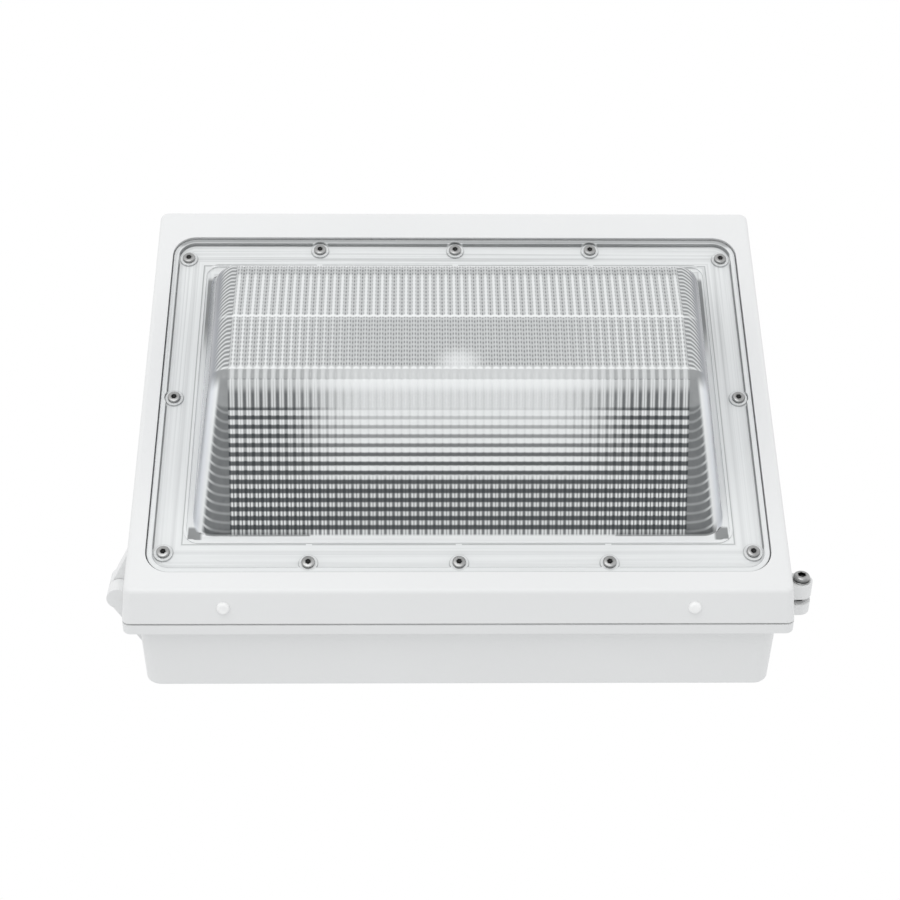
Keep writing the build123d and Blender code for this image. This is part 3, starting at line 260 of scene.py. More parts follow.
def moulded(name, colour, roughness, grain=0.02, sheen=0.0):
    """Moulded plastic or rubber: matt skin with fine pitting and uneven gloss."""
    finish = Finish(name)
    mottle = finish.noise(140.0, 3.0)
    finish.surface(
        base_color=finish.blend(mottle.rise(0.3, 0.7), shaded(colour, 0.93), colour),
        roughness=roughness + 0.12 * (mottle - 0.5),
        normal=finish.bump(finish.noise(2200.0, 2.0), grain * MM),
        sheen_weight=sheen,
    )
    return finish.material


def turned_steel(name, colour, roughness):
    """Machined or plated steel with faint tool marks, darker smudges and painted shade in its socket and under
    its head.
    """
    finish = Finish(name)
    marks = finish.noise(1.0, 3.0, finish.stretched((2600.0, 2600.0, 500.0)))
    smudge = finish.noise(260.0, 4.0)
    skin = finish.blend(smudge.rise(0.35, 0.75), colour, shaded(colour, 0.8))
    finish.surface(
        # painted shade: the hex socket, the head's lower edge and the shank are drawn near black
        base_color=finish.blend(finish.attribute("painted_shade"), skin, shaded(colour, 0.07)),
        metallic=1.0,
        roughness=roughness + 0.16 * (smudge - 0.5) + 0.1 * (marks - 0.5),
        normal=finish.bump(marks, 0.012 * MM),
    )
    return finish.material


def rolled_sheet(name, colour, roughness):
    """Sheet metal with the long streaks of the mill."""
    finish = Finish(name)
    streaks = finish.noise(1.0, 4.0, finish.stretched((18.0, 1500.0, 1500.0)))
    cloud = finish.noise(30.0, 3.0)
    finish.surface(
        base_color=finish.blend(streaks.rise(0.3, 0.7), shaded(colour, 0.88), colour),
        metallic=1.0,
        roughness=roughness + 0.14 * (streaks - 0.5) + 0.08 * (cloud - 0.5),
        normal=finish.bump(streaks, 0.006 * MM),
    )
    return finish.material


def solder_mask():
    """White board with the faint edges of the copper under its mask."""
    finish = Finish("white solder mask")
    track_pitch = 0.017
    across = finish.node("ShaderNodeSeparateXYZ", sockets={"Vector": finish.place()}, out="X")
    copper = abs((across / track_pitch).fraction() - 0.5).rise(0.06, 0.09)
    skin = finish.noise(900.0, 2.0)
    finish.surface(
        base_color=finish.blend(copper, (0.74, 0.75, 0.73), (0.83, 0.84, 0.82)),
        roughness=0.34 + 0.1 * (skin - 0.5),
        normal=finish.bump(copper + 0.2 * skin, 0.03 * MM),
    )
    return finish.material


def chip_finish(colour):
    """White chip body with its phosphor under clear silicone."""
    finish = Finish("phosphor chip")
    grain = finish.noise(3000.0, 2.0)
    phosphor = finish.attribute("phosphor")
    yellow = finish.blend(grain.rise(0.3, 0.7), shaded(colour, 0.93), colour)
    finish.surface(
        base_color=finish.blend(phosphor.rise(0.4, 0.6), (0.86, 0.86, 0.85), yellow),
        roughness=0.42 - 0.2 * phosphor + 0.08 * (grain - 0.5),
        normal=finish.bump(grain, 0.008 * MM),
    )
    return finish.material


# Where the bulge's painted light and shade change: millimetres aside, rows of the near facet, or millimetres up
# the face.
DARK_ENDS = (48.0, 100.0)
LOW_ROWS, LOWEST_ROWS, RIDGE_ROWS = (7.5, 14.2), (5.2, 7.6), (13.9, 14.3)
CROWN_FOOT, CROWN_TOP, RIDGE_TOP = (-39.0, -34.4), (-32.6, -31.9), (-26.4, -25.8)
GLOW_CENTRE, MIDDLE_TOP, SHOULDER = -21.0, 10.2, (53.0, 55.0)


def painted_prism_lightness(finish, sizes):
    """How light the bulge is painted at each place, 0 to 1: painted light and shade for what its prisms show of
    the dark hollow and the white surround, with painted highlights and a painted glow; and how much of the place
    is its smooth side wall.

    The ribs of the near facet lie at whole numbers of rows, counted up from its foot.
    """
    across, up, out = (finish.attribute(name) for name in ("across_mm", "up_mm", "out_mm"))
    aside = abs(across)
    side_gap = (SIDE - aside) * math.cos(DRAFT) - (out - LAND) * math.sin(DRAFT)
    field = aside.fall(FIELD - 0.3, FIELD + 0.5)
    edge = aside.rise(*DARK_ENDS)
    flute = across / sizes.flute_pitch
    rows = (out - LAND) * (NEAR_LENGTH / NEAR_CLIMB / sizes.near_pitch)
    ladder = (up - LADDER_FOOT) / sizes.upper_pitch
    patchy = 0.1 * (finish.noise(210.0, 3.0) - 0.5)
    fine = finish.noise(900.0, 2.0)

    # how far a rib has gone round the corner beside the field, 0 to 1
    corner = ((aside - FIELD) / (SIDE - FIELD - 3.0 - (out - LAND) * math.tan(DRAFT))).most(0.0)
    curl = corner * corner

    # near facet: painted dark lines of shade between the rows, thin and faint at the top, broad lower down
    low = rows.fall(*LOW_ROWS) ** 0.5
    lowest = rows.fall(*LOWEST_ROWS)
    sparse = edge * (1.0 - lowest)
    line = rows.stripe(0.0, 0.35 + 0.1 * low + 0.06 * lowest + 0.06 * sparse, 0.1)
    line = line * rows.rise(0.15, 0.45)
    line_depth = (0.16 + 0.77 * low).most(0.9 * edge)
    gap = flute.stripe(0.0, 0.22 + 0.14 * lowest + 0.2 * sparse, 0.1)
    gap_depth = (0.08 + 0.56 * edge).most(0.8 * lowest) + 0.3 * edge * line
    split = flute.stripe(0.5, 0.16, 0.07) * (0.55 * lowest + 0.3 * edge)
    lit = 0.95 - 0.16 * lowest * (1.0 - 0.8 * edge) + 1.4 * patchy
    near = lit * (1.0 - line * line_depth) * (1.0 - gap * gap_depth) * (1.0 - split)
    thread = (rows - 0.75 * curl).stripe(0.5, 0.26, 0.12)
    turned = 0.14 + thread * (0.16 + 0.6 * corner.rise(0.5, 0.95)) + 0.8 * patchy
    near = turned.towards(near, field).towards(0.86, rows.fall(0.0, 0.3))

    # ridge: painted upright streaks of shade, strong at the ends, and a painted highlight along its crown
    streaks = flute.stripe(0.0, 0.46, 0.12) * (0.06 + 0.8 * edge)
    streaks = streaks + flute.stripe(0.5, 0.14, 0.05) * 0.5 * edge
    streaks = streaks + (flute * 3.0).stripe(0.0, 0.4, 0.12) * 0.07
    ridge = (0.84 + 0.1 * (fine - 0.5)) * (1.0 - streaks.least(0.86))
    ridge = ridge.towards(1.0, up.rise(*CROWN_FOOT) * up.fall(*CROWN_TOP) * (1.0 - 0.6 * edge))
    ridge = ridge.towards(0.68 - 0.3 * edge * flute.stripe(0.0, 0.46, 0.1), up.rise(-32.4, -31.6))
    ridge = (0.3 + patchy).towards(ridge, field)

    # middle and upper facets: painted rungs of small dark dots of shade between pale upright bands of painted
    # light
    rung = ladder.stripe(0.0, 0.5, 0.16)
    column = (flute * 3.0).stripe(0.0, 0.5, 0.16)
    dots = (rung * column * (0.7 + 0.6 * fine) + 0.16 * column).least(1.0)
    band = flute.stripe(0.5, 0.36, 0.1)
    middle = 0.64 - 0.38 * dots + band * (0.03 + 0.24 * edge)
    upper = 0.64 - 0.38 * dots - 0.08 * up.rise(41.5, 44.0) * up.fall(47.0, 49.0)
    upper = upper.towards(0.93, band * (0.25 + 0.7 * up.fall(41.0, 45.0)))
    curls = 0.27 + 0.5 * (ladder + 1.8 * curl).stripe(0.3, 0.42, 0.16)
    top = curls.towards(middle.towards(upper, up.rise(9.0, 11.0)), field)
    # painted glow: a pale round spot on the middle facet
    top = top.towards(0.97, 0.65 * far(across, 1.4 * (up - GLOW_CENTRE)).fall(2.0, 17.0))
    # painted highlights along the bends between the facets and below the shoulder
    seam_highlight = up.near(-25.4, 0.5, 0.7) * (0.6 + 0.4 * flute.stripe(0.5, 0.6, 0.1))
    bright = seam_highlight.most(up.near(MIDDLE_TOP, 0.5, 0.7)).most(up.rise(50.4, 52.0) * up.fall(*SHOULDER))
    top = top.towards(1.0, bright * (0.4 + 0.6 * field))
    beyond = 0.42 + 0.34 * flute.stripe(0.5, 0.5, 0.2) + patchy
    top = top.towards(beyond, up.rise(*SHOULDER) * field)

    painted_lightness = near.towards(ridge, rows.rise(*RIDGE_ROWS)).towards(top, up.rise(*RIDGE_TOP))

    # side walls: painted shade, plain and smooth, paler at the foot, with a painted highlight as a soft gleam
    # beside the near facet
    wall = side_gap.fall(1.6, 5.0)
    high = up.rise(0.0, 30.0)
    pale = 0.85 - 0.3 * up.fall(-42.0, -28.0) - 0.6 * high
    plain = 0.34 + 0.16 * (finish.noise(22.0, 2.0) - 0.5) - 0.08 * high
    plain = plain.towards(0.8, out.fall(2.0, 34.0) * pale)
    gleam = side_gap.near(3.4, 1.1, 2.4) * up.fall(-36.0, -27.0)
    plain = plain.towards(1.0, gleam * (0.85 + 0.15 * out.rise(20.0, 52.0)))
    painted_lightness = painted_lightness.towards(plain, wall.most(gleam))
    return painted_lightness.most(0.0).least(1.0), wall


# Painted dark lines on the flange, in millimetres in from its edge, and the painted ring round a screw's boss.
RIM_LINE, LIP_LINE, RIDGE_LINE, BOSS_RING = 3.2, 13.5, 18.6, 5.3


def painted_flange_lightness(finish):
    """How light the flange is painted: pale, with painted dark lines of shade at its rim and ridge, painted
    streaks of shade along its edges and painted shade where the dark hollow shows at its corners.
    """
    across, up = (finish.attribute(name) for name in ("across_mm", "up_mm"))
    aside = abs(across)
    side = aside - (FLANGE_HALF[0] - FLANGE_CORNER)
    end = abs(up - FLANGE_CENTRE) - (FLANGE_HALF[1] - FLANGE_CORNER)
    edge = FLANGE_CORNER - far(side.most(0.0), end.most(0.0)) - side.most(end).least(0.0)
    boss = far(aside - SCREW_SIDE_X, up - SCREW_CENTRE)
    corner, row = (SCREW_CORNER_X, SCREW_CORNER_ROW), (SCREW_MIDDLE_X, SCREW_ROW)
    for one, two in (corner, row, (0.0, SCREW_ROW)):
        boss = boss.least(far(aside - one, abs(up - SCREW_CENTRE) - two))
    # painted streaks of shade along the edges, stronger towards the top
    sockets = {"X": 0.9 * edge, "Y": 0.006 * across, "Z": 0.006 * up}
    streak_shade = finish.noise(1.0, 3.0, finish.node("ShaderNodeCombineXYZ", sockets=sockets))
    tab = aside.near(0.0, 1.5, 0.4).most(aside.near(SCREW_MIDDLE_X, 1.5, 0.4))
    painted_lightness = 1.0 - (0.07 + 0.16 * up.rise(-80.0, 90.0)) * streak_shade.rise(0.42, 0.72)
    # painted dark lines of shade at the outer edge, the rim, the lip, the ridge and round the screw bosses, and
    # along the top edge a painted shadow of the frame's pocket wall
    for depth, mark in (
        (0.5, edge.fall(0.1, 0.5)),
        (0.6, edge.near(RIM_LINE, 0.12, 0.45) * boss.rise(6.0, 6.8)),
        (0.1, edge.near(LIP_LINE, 0.5, 1.5)),
        (0.4, edge.near(RIDGE_LINE, 0.15, 0.45) * (1.0 - tab)),
        (0.28, boss.near(BOSS_RING, 0.1, 0.35)),
        (0.45, edge.fall(2.0, 3.0) * up.rise(104.0, 107.0)),
    ):
        painted_lightness = painted_lightness * (1.0 - depth * mark)
    # painted shade: the dark hollow seen through the flange beside the lower and upper corners of the opening
    below = up.fall(-92.5, -90.5) * aside.rise(141.0, 143.0)
    above = up.rise(20.0, 50.0) * up.fall(80.0, 84.0) * aside.rise(145.0, 146.5)
    return painted_lightness.towards(0.3, edge.rise(21.3, 21.9) * below.most(above))


def clear_moulding(sizes):
    """Clear polycarbonate: smooth gloss with the faintest flow marks, and over it a surface with the painted
    light and shade of its prisms and flange.
    """
    finish = Finish("clear polycarbonate")
    tint, shade, glint = (tuple(colour) for colour in (sizes.tint, sizes.shade, sizes.glint))
    flow = finish.noise(60.0, 3.0)
    clear = finish.surface(
        base_color=finish.blend(flow.rise(0.3, 0.7), tint, shaded(tint, 0.99)),
        roughness=0.03 + 0.02 * flow,
        ior=1.585,
        transmission_weight=1.0,
        normal=finish.bump(flow, 0.02 * MM),
    )
    # painted light and shade, 0 to 1, laid between the Shade and Glint colours
    painted_lightness, wall = painted_prism_lightness(finish, sizes)
    painted_facet_colour = finish.blend(painted_lightness, shade, glint)
    # painted shade and painted highlight colours of the smooth side walls
    smooth = finish.blend(painted_lightness, (0.05, 0.056, 0.07), (0.88, 0.91, 0.96))
    flange = finish.blend(painted_flange_lightness(finish), shade, glint)
    outside, land = finish.attribute("outside"), finish.attribute("land")
    # the painted surface: an opaque gloss whose colour is the painted light and shade
    prisms = finish.surface(
        base_color=finish.blend(land, finish.blend(wall, painted_facet_colour, smooth), flange),
        roughness=0.14 + 0.05 * flow,
        specular_ior_level=0.4,
    )
    # the painted surface covers most of the outer skin and the flange; the rest is the clear glass
    share = outside * (0.95 - 0.08 * painted_lightness) * (1.0 - 0.12 * wall) + 0.84 * land
    finish.mixed(share, clear, prisms)
    return finish.material


# ---------------------------------------------------------------- shapes
def linked(name, data):
    """A new object in the scene."""
    made = bpy.data.objects.new(name, data)
    bpy.context.scene.collection.objects.link(made)
    return made


def wear(piece, finish):
    piece.data.materials.clear()
    piece.data.materials.append(finish)


def dress(finish, *nodes):
    """Gives carried-over solids their finish."""
    for node in nodes:
        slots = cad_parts[node].material_slots
        if not slots:
            raise RuntimeError(f"{node} has no material slot")
        for slot in slots:
            slot.material = finish


def place_piece(name, mesh, body, nodes):
    piece = linked(name, mesh)
    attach(piece, body)
    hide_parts(*nodes)
    return piece


def mesh_from(name, shape):
    mesh = bpy.data.meshes.new(name)
    shape.to_mesh(mesh)
    shape.free()
    return mesh


def plain(radius):
    """Radius of a circle at an angle."""
    return lambda angle: radius


def hexagon(flats):
    """Radius of a hexagon at an angle."""
    sector = math.pi / 3
    return lambda angle: flats / 2 / math.cos((angle + sector / 2) % sector - sector / 2)


def threaded(shank, pitch, level):
    """Radius of a thread at an angle, at this level."""
    return lambda angle: shank - 0.28 * pitch * abs(2 * ((level / pitch + angle / (2 * math.pi)) % 1.0) - 1)


def screw_shape(head, height, flats, depth, shank, length, pitch, steps=36):
    """Button head screw in millimetres, its seat at zero, pointing up: rings joined into a closed skin."""
    bevel, round_off = 0.12, 0.4 * height
    rings = [(plain(flats * 0.02), height - depth - 0.25 * flats), (hexagon(flats), height - depth)]
    rings += [(hexagon(flats), height - bevel), (hexagon(flats * 1.08), height)]
    for turn in np.linspace(0.25, 1.0, 7) * math.pi / 2:
        reach = head - round_off * 1.6 * (1 - math.sin(turn))
        rings.append((plain(reach), height - round_off * (1 - math.cos(turn)) * 1.2))
    rings += [(plain(head), bevel), (plain(head - 0.15), 0.0), (plain(shank + 0.02), 0.0)]
    level = -0.5
    while level > -length + 1.0:
        rings.append((threaded(shank, pitch, level), level))
        level -= pitch / 4
    rings += [(plain(shank * 0.82), -length + 0.5), (plain(shank * 0.6), -length)]
    # painted shade of each ring: dark in the hex socket, darker down the head's edge, dark under the head and
    # along the shank
    painted_shade = [1.0, 1.0, 0.8, 0.3] + [0.0] * 6 + [0.25, 0.8, 1.0, 1.0]
    return ringed_shape(rings, painted_shade, "painted_shade", (1, 2, 3, 11, 12), steps)


def ringed_shape(rings, marks, mark_name, creases, steps):
    """Rings of points joined into a closed skin, with a mark kept for each ring."""
    shape = bmesh.new()
    layer = shape.verts.layers.float.new(mark_name)
    loops = []
    for place, (radius, level) in enumerate(rings):
        loop = []
        for step in range(steps):
            angle = 2 * math.pi * step / steps
            reach = radius(angle)
            vert = shape.verts.new((reach * math.cos(angle), reach * math.sin(angle), level))
            vert[layer] = marks[min(place, len(marks) - 1)]
            loop.append(vert)
        loops.append(loop)
    for upper, lower in zip(loops, loops[1:]):
        for step in range(steps):
            after = (step + 1) % steps
            shape.faces.new((upper[step], lower[step], lower[after], upper[after]))
    shape.faces.new(loops[0])
    shape.faces.new(list(reversed(loops[-1])))
    for face in shape.faces:
        face.smooth = len(face.verts) == 4
    for place in creases:
        for one, two in zip(loops[place], loops[place][1:] + loops[place][:1]):
            shape.edges.get((one, two)).smooth = False
    bmesh.ops.recalc_face_normals(shape, faces=shape.faces)
    return shape


def chip_shape(size, height, steps=16):
    """White chip with a sunk round of phosphor, in millimetres, its foot at zero."""

    def square(shrink):
        return lambda angle: (size / 2 - shrink) / max(abs(math.cos(angle)), abs(math.sin(angle)))

    rings = [(plain(share * size), height - sunk) for share, sunk in ((0.02, 0.04), (0.22, 0.07), (0.38, 0.16))]
    rings += [(plain(0.4 * size), height), (square(0.12), height)]
    rings += [(square(0.0), height - 0.12), (square(0.0), 0.0)]
    return ringed_shape(rings, [1.0, 1.0, 1.0, 0.0], "phosphor", (3, 4, 5), steps)


class NodeTree:
    """A geometry node tree under construction."""

    def __init__(self, name):
        self.tree = bpy.data.node_groups.new(name, "GeometryNodeTree")
        self.start = self.tree.nodes.new("NodeGroupInput")
        self.end = self.tree.nodes.new("NodeGroupOutput")
        self.sockets = {}
        self.add_input("Geometry", "NodeSocketGeometry")
        self.tree.interface.new_socket("Geometry", in_out="OUTPUT", socket_type="NodeSocketGeometry")

    def add_input(self, name, kind):
        made = self.tree.interface.new_socket(name, in_out="INPUT", socket_type=kind)
        self.sockets[name] = made.identifier
        return self.given(name)

    def given(self, name):
        return next(socket for socket in self.start.outputs if socket.name == name)

    def node(self, kind, settings=None, sockets=None, out=0):
        return new_node(self.tree, kind, settings, sockets).outputs[out]

    def maths(self, operation, *values):
        return self.node("ShaderNodeMath", {"operation": operation}, dict(enumerate(values)))

    def finish(self, geometry, material):
        """Ends the tree in real geometry with its finish."""
        real = self.node("GeometryNodeRealizeInstances", sockets={"Geometry": geometry})
        last = self.node("GeometryNodeSetMaterial", sockets={"Geometry": real, "Material": material})
        self.tree.links.new(last, self.end.inputs[0])

    def run(self, mesh, name, values):
        """Runs the tree on a mesh and returns the plain mesh that it makes."""
        holder = linked(name, mesh)
        modifier = holder.modifiers.new(name, "NODES")
        modifier.node_group = self.tree
        for socket, value in values.items():
            modifier[self.sockets[socket]] = value
        bpy.context.view_layer.update()
        seen = holder.evaluated_get(bpy.context.evaluated_depsgraph_get())
        made = bpy.data.meshes.new_from_object(seen)
        made.name = name
        bpy.data.objects.remove(holder)
        return made


# ---------------------------------------------------------------- the lens
# Rows of the outer skin in shares of the facets, as first, last and how many, closer at the bends.
OUTER_ROWS = (
    (0, 0.9, 15), (0.92, 1.12, 14), (1.2, 1.9, 8), (1.95, 2.05, 5),
    (2.12, 2.85, 8), (2.88, 3.1, 12), (3.16, 4, 9),
)
INNER_COLUMNS = 37
SIDE_STEPS = 26
# How far up the face the bends between the facets meet the foot of the side walls.
BEND_FEET = (-52.0, 8.0, 58.0)
# A block inside the bulge: the skin is looked for on lines from it, by halving.
CORE_U, CORE_V, CORE_W = 112.0, (-58.0, 52.0), 8.0
HALVINGS = 36
SEAL_GAP = 0.08
SKIN_GAP = 0.03
LEVEL_SLACK = 0.05
PACKED_ROUND = 7.3
MARKS = (
    "near_at", "near_share", "upper_at", "upper_share", "flute_share",
    "across_mm", "up_mm", "out_mm", "outside", "land",
)


def soft_most(one, two, reach):
    """The larger of two distances, rounded where they are close."""
    share = np.maximum(reach - np.abs(one - two), 0.0) / reach
    return np.maximum(one, two) + share * share * reach / 4


def beyond_sides(u, w):
    """How far points stand outside the drafted sides of the bulge."""
    return (np.abs(u) - SIDE) * math.cos(DRAFT) + (w - LAND) * math.sin(DRAFT)


def beyond_lens(u, v, w, side_round):
    """How far points stand outside the bulge, negative inside it."""
    total = None
    for (one, two), reach in zip(zip(PROFILE, PROFILE[1:]), (None,) + BLENDS):
        run, climb = two[0] - one[0], two[1] - one[1]
        gap = ((w - one[1]) * run - (v - one[0]) * climb) / math.hypot(run, climb)
        total = gap if total is None else soft_most(total, gap, reach)
    return soft_most(total, beyond_sides(u, w), side_round)


def profile_at(shares, base):
    """Points along the sharp side view, share 0 to 4, one for each facet, its ends carried on to the base."""
    points = np.array(PROFILE)
    fall = base - LAND
    for end, inner in ((0, 1), (4, 3)):
        run, climb = np.subtract(PROFILE[inner], PROFILE[end])
        points[end] += (fall * run / climb, fall)
    return (np.interp(shares, np.arange(5), points[:, axis]) for axis in (0, 1))


def skin_of_lens(shares, across, base, depth, side_round):
    """Grid of points on the bulge, this deep under its outer skin."""
    v_row, w_row = profile_at(shares, base)
    wide = SIDE - (base - LAND) * math.tan(DRAFT)
    top_edge = SIDE - (w_row - LAND) * math.tan(DRAFT)
    foot_v = np.interp(shares, np.arange(5), (v_row[0], *BEND_FEET, v_row[-1]))
    strip = top_edge - FIELD
    wall = np.sqrt((wide - top_edge) ** 2 + (w_row - base) ** 2 + (foot_v - v_row) ** 2)
    steps = np.linspace(0, 1, SIDE_STEPS + 1)[1:]
    run = steps[None, :] * (strip + wall)[:, None]
    on_wall = np.clip((run - strip[:, None]) / np.maximum(wall, 1e-6)[:, None], 0, 1)
    edge_u = np.minimum(FIELD + run, top_edge[:, None]) + on_wall * (wide - top_edge)[:, None]
    edge_v = v_row[:, None] + on_wall * (foot_v - v_row)[:, None]
    edge_w = w_row[:, None] + on_wall * (base - w_row)[:, None]
    parts = ((-1, edge_u, across[None, :]), (1, edge_v, v_row[:, None]), (1, edge_w, w_row[:, None]))
    sharp = []
    for sign, edge, flat in parts:
        flat = np.broadcast_to(flat, (len(shares), len(across)))
        sharp.append(np.concatenate([sign * edge[:, ::-1], flat, edge], axis=1))
    u, v, w = sharp
    core = np.stack([np.clip(u, -CORE_U, CORE_U), np.clip(v, *CORE_V), np.minimum(w, CORE_W)])
    aim = np.stack(sharp) - core
    low, high = np.zeros(u.shape), np.full(u.shape, 1.3)
    for _ in range(HALVINGS):
        half_way = (low + high) / 2
        inside = beyond_lens(*(core + aim * half_way), side_round) < -depth
        low, high = np.where(inside, half_way, low), np.where(inside, high, half_way)
    return core + aim * low


def rows_for(pitch, length, start, end, facet, per_rib, rest):
    """Shares along a facet: fine rows over its ribs and coarse rows beside them."""
    ribs = int(round((end - start) / pitch))
    fine = start + np.arange(ribs * per_rib + 1) * pitch / per_rib
    before = np.linspace(0, start, rest + 1)[:-1]
    after = np.linspace(fine[-1], length, rest + 1)[1:-1]
    return facet + np.concatenate([before, fine, after]) / length


def grid_faces(shape, points, flip):
    """Adds a grid of points and its faces, and returns its vertices and the ring round its edge."""
    rows, columns = points.shape[1:]
    places = off_face(*points).reshape(-1, 3)
    verts = [shape.verts.new(place) for place in places]
    for row in range(rows - 1):
        for column in range(columns - 1):
            corner = row * columns + column
            ring = [corner, corner + 1, corner + columns + 1, corner + columns]
            shape.faces.new([verts[i] for i in (ring[::-1] if flip else ring)])
    edge = verts[:columns] + verts[2 * columns - 1 :: columns]
    edge += verts[-2 : -columns - 1 : -1] + verts[-2 * columns : 0 : -columns]
    return verts, edge


def bridge(shape, ring, open_edges):
    """Joins the ring round a grid's edge to the open edges of a hole."""
    edges = [shape.edges.get(pair) for pair in zip(ring, ring[1:] + ring[:1])]
    bmesh.ops.bridge_loops(shape, edges=[edge for edge in edges if edge] + open_edges)


def write_marks(verts, marks, **values):
    """Writes values, one for all the vertices or one for each, into the layers of their names."""
    for name, value in values.items():
        for vert, part in zip(verts, np.broadcast_to(value, len(verts))):
            vert[marks[name]] = part


def lens_mesh(sizes):
    """The flange as packed, with the bulge made anew and joined to it."""
    shape = bmesh.new()
    shape.from_mesh(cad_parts["lens"].data)
    bmesh.ops.remove_doubles(shape, verts=shape.verts, dist=2e-6)
    places = on_face([vert.co[:] for vert in shape.verts])
    apart = beyond_lens(*places.T, PACKED_ROUND)
    gone = (apart < 1.5) & (places[:, 2] > LAND + LEVEL_SLACK)
    gone |= (apart < -0.6) & (places[:, 2] > FLANGE_UNDER + LEVEL_SLACK)
    bmesh.ops.delete(shape, geom=[v for v, out in zip(list(shape.verts), gone) if out], context="VERTS")
    for face in shape.faces:
        face.smooth = False
    for name in MARKS:
        shape.verts.layers.float.new(name)
    marks = {name: shape.verts.layers.float[name] for name in MARKS}
    flange = list(shape.verts)
    u, v, w = on_face([vert.co[:] for vert in flange]).T
    write_marks(flange, marks, across_mm=u, up_mm=v, out_mm=w, land=1.0)
    for vert, level in zip(flange, w):
        if level < FLANGE_UNDER + LEVEL_SLACK:
            vert.co += OFF_FACE * SEAL_GAP * MM
    top, under = [], []
    for edge in shape.edges:
        if edge.is_boundary:
            level = on_face([edge.verts[0].co[:]])[0][2]
            (top if level > (LAND + FLANGE_UNDER) / 2 else under).append(edge)
    if not top or not under:
        raise RuntimeError("the flange has no hole for the bulge")

    flutes = int(round(2 * FIELD / sizes.flute_pitch))
    across = np.linspace(-FIELD, FIELD, flutes * 6 + 1)
    outer_rows = np.concatenate([np.linspace(*part) for part in OUTER_ROWS])
    outer = skin_of_lens(outer_rows, across, LAND, SKIN_GAP, sizes.side_round)
    ribs_end = NEAR_LENGTH - RIDGE_LENGTH
    near_ribs = rows_for(sizes.near_pitch, NEAR_LENGTH, 0.6, ribs_end, 0, 6, 5)
    middle_ribs = rows_for(sizes.upper_pitch, MIDDLE_LENGTH, 6.0, 41.4, 1, 5, 6)
    upper_ribs = rows_for(sizes.upper_pitch, UPPER_LENGTH, 1.2, 37.5, 2, 5, 5)
    inner_rows = np.concatenate([near_ribs, middle_ribs, upper_ribs, np.linspace(3, 4, 16)])
    inner_rows = np.unique(np.clip(inner_rows, 0, 4).round(5))
    across = np.linspace(-FIELD, FIELD, INNER_COLUMNS)
    inner = skin_of_lens(inner_rows, across, FLANGE_UNDER, sizes.wall, sizes.side_round)

    # the flutes end softly at the foot, at the shoulder and at the sides of the field
    outer_verts, outer_edge = grid_faces(shape, outer, False)
    inner_verts, inner_edge = grid_faces(shape, inner, True)
    u, v, w = (part.ravel() for part in outer)
    on_facets = np.clip((w - LAND - 1.5) / 3, 0, 1) * np.clip((57.0 - v) / 2, 0, 1)
    share = np.clip((FIELD + 0.02 - np.abs(u)) * 40, 0, 1) * on_facets
    write_marks(outer_verts, marks, across_mm=u, up_mm=v, out_mm=w, outside=1.0, flute_share=share)

    # the ribs end softly at the foot, at the ridge, at the bends and before the side walls
    u, v, w = (part.ravel() for part in inner)
    near_at = (w - LAND + 2.37) * NEAR_LENGTH / NEAR_CLIMB
    near = np.clip((ribs_end - near_at) * 2, 0, 1) * np.clip(near_at, 0, 1)
    near *= np.clip((-20 - v) / 20, 0, 1)
    wall_gap = -beyond_sides(u, w)
    near *= np.clip((wall_gap - 3.4) / 5, 0, 1)
    upper = np.clip((v + 25.8) * 2, 0, 1) * np.clip((49 - v) * 2, 0, 1)
    upper *= np.clip((wall_gap - 3.4) / 3, 0, 1) * np.clip((w - 34) / 6, 0, 1)
    write_marks(
        inner_verts, marks, near_at=near_at, near_share=near, upper_at=v - LADDER_FOOT, upper_share=upper
    )
    for vert in outer_verts + inner_verts:
        for face in vert.link_faces:
            face.smooth = True
    bridge(shape, outer_edge, top)
    bridge(shape, inner_edge, under)
    bmesh.ops.recalc_face_normals(shape, faces=shape.faces)
    return mesh_from("lens", shape)


def prism_tree():
    """Cuts V flutes and ribs with rounded flanks into a skin, from the marks that it carries."""
    tree = NodeTree("prisms")
    skin = tree.given("Geometry")
    normal = tree.node("GeometryNodeInputNormal")
    total = None
    for place, share, pitch, depth in (
        ("across_mm", "flute_share", "Flute pitch", "Flute depth"),
        ("near_at", "near_share", "Near rib pitch", "Rib depth"),
        ("upper_at", "upper_share", "Upper rib pitch", "Upper rib depth"),
    ):
        pitch = tree.add_input(pitch, "NodeSocketFloat")
        depth = tree.add_input(depth, "NodeSocketFloat")
        mark = {"data_type": "FLOAT"}
        at = tree.node("GeometryNodeInputNamedAttribute", mark, {"Name": place})
        much = tree.node("GeometryNodeInputNamedAttribute", mark, {"Name": share})
        turn = tree.maths("FRACT", tree.maths("ADD", tree.maths("DIVIDE", at, pitch), 200.0))
        off = tree.maths("MULTIPLY", tree.maths("SUBTRACT", turn, 0.5), 2.0)
        reach = tree.maths("MULTIPLY", depth, much)
        cut = tree.maths("MULTIPLY", tree.maths("MULTIPLY", off, off), reach)
        total = cut if total is None else tree.maths("ADD", total, cut)
    drop = tree.maths("MULTIPLY", total, -MM)
    offset = tree.node("ShaderNodeVectorMath", {"operation": "SCALE"}, {0: normal, "Scale": drop})
    moved = tree.node("GeometryNodeSetPosition", sockets={"Geometry": skin, "Offset": offset})
    tree.finish(moved, tree.add_input("Finish", "NodeSocketMaterial"))
    return tree


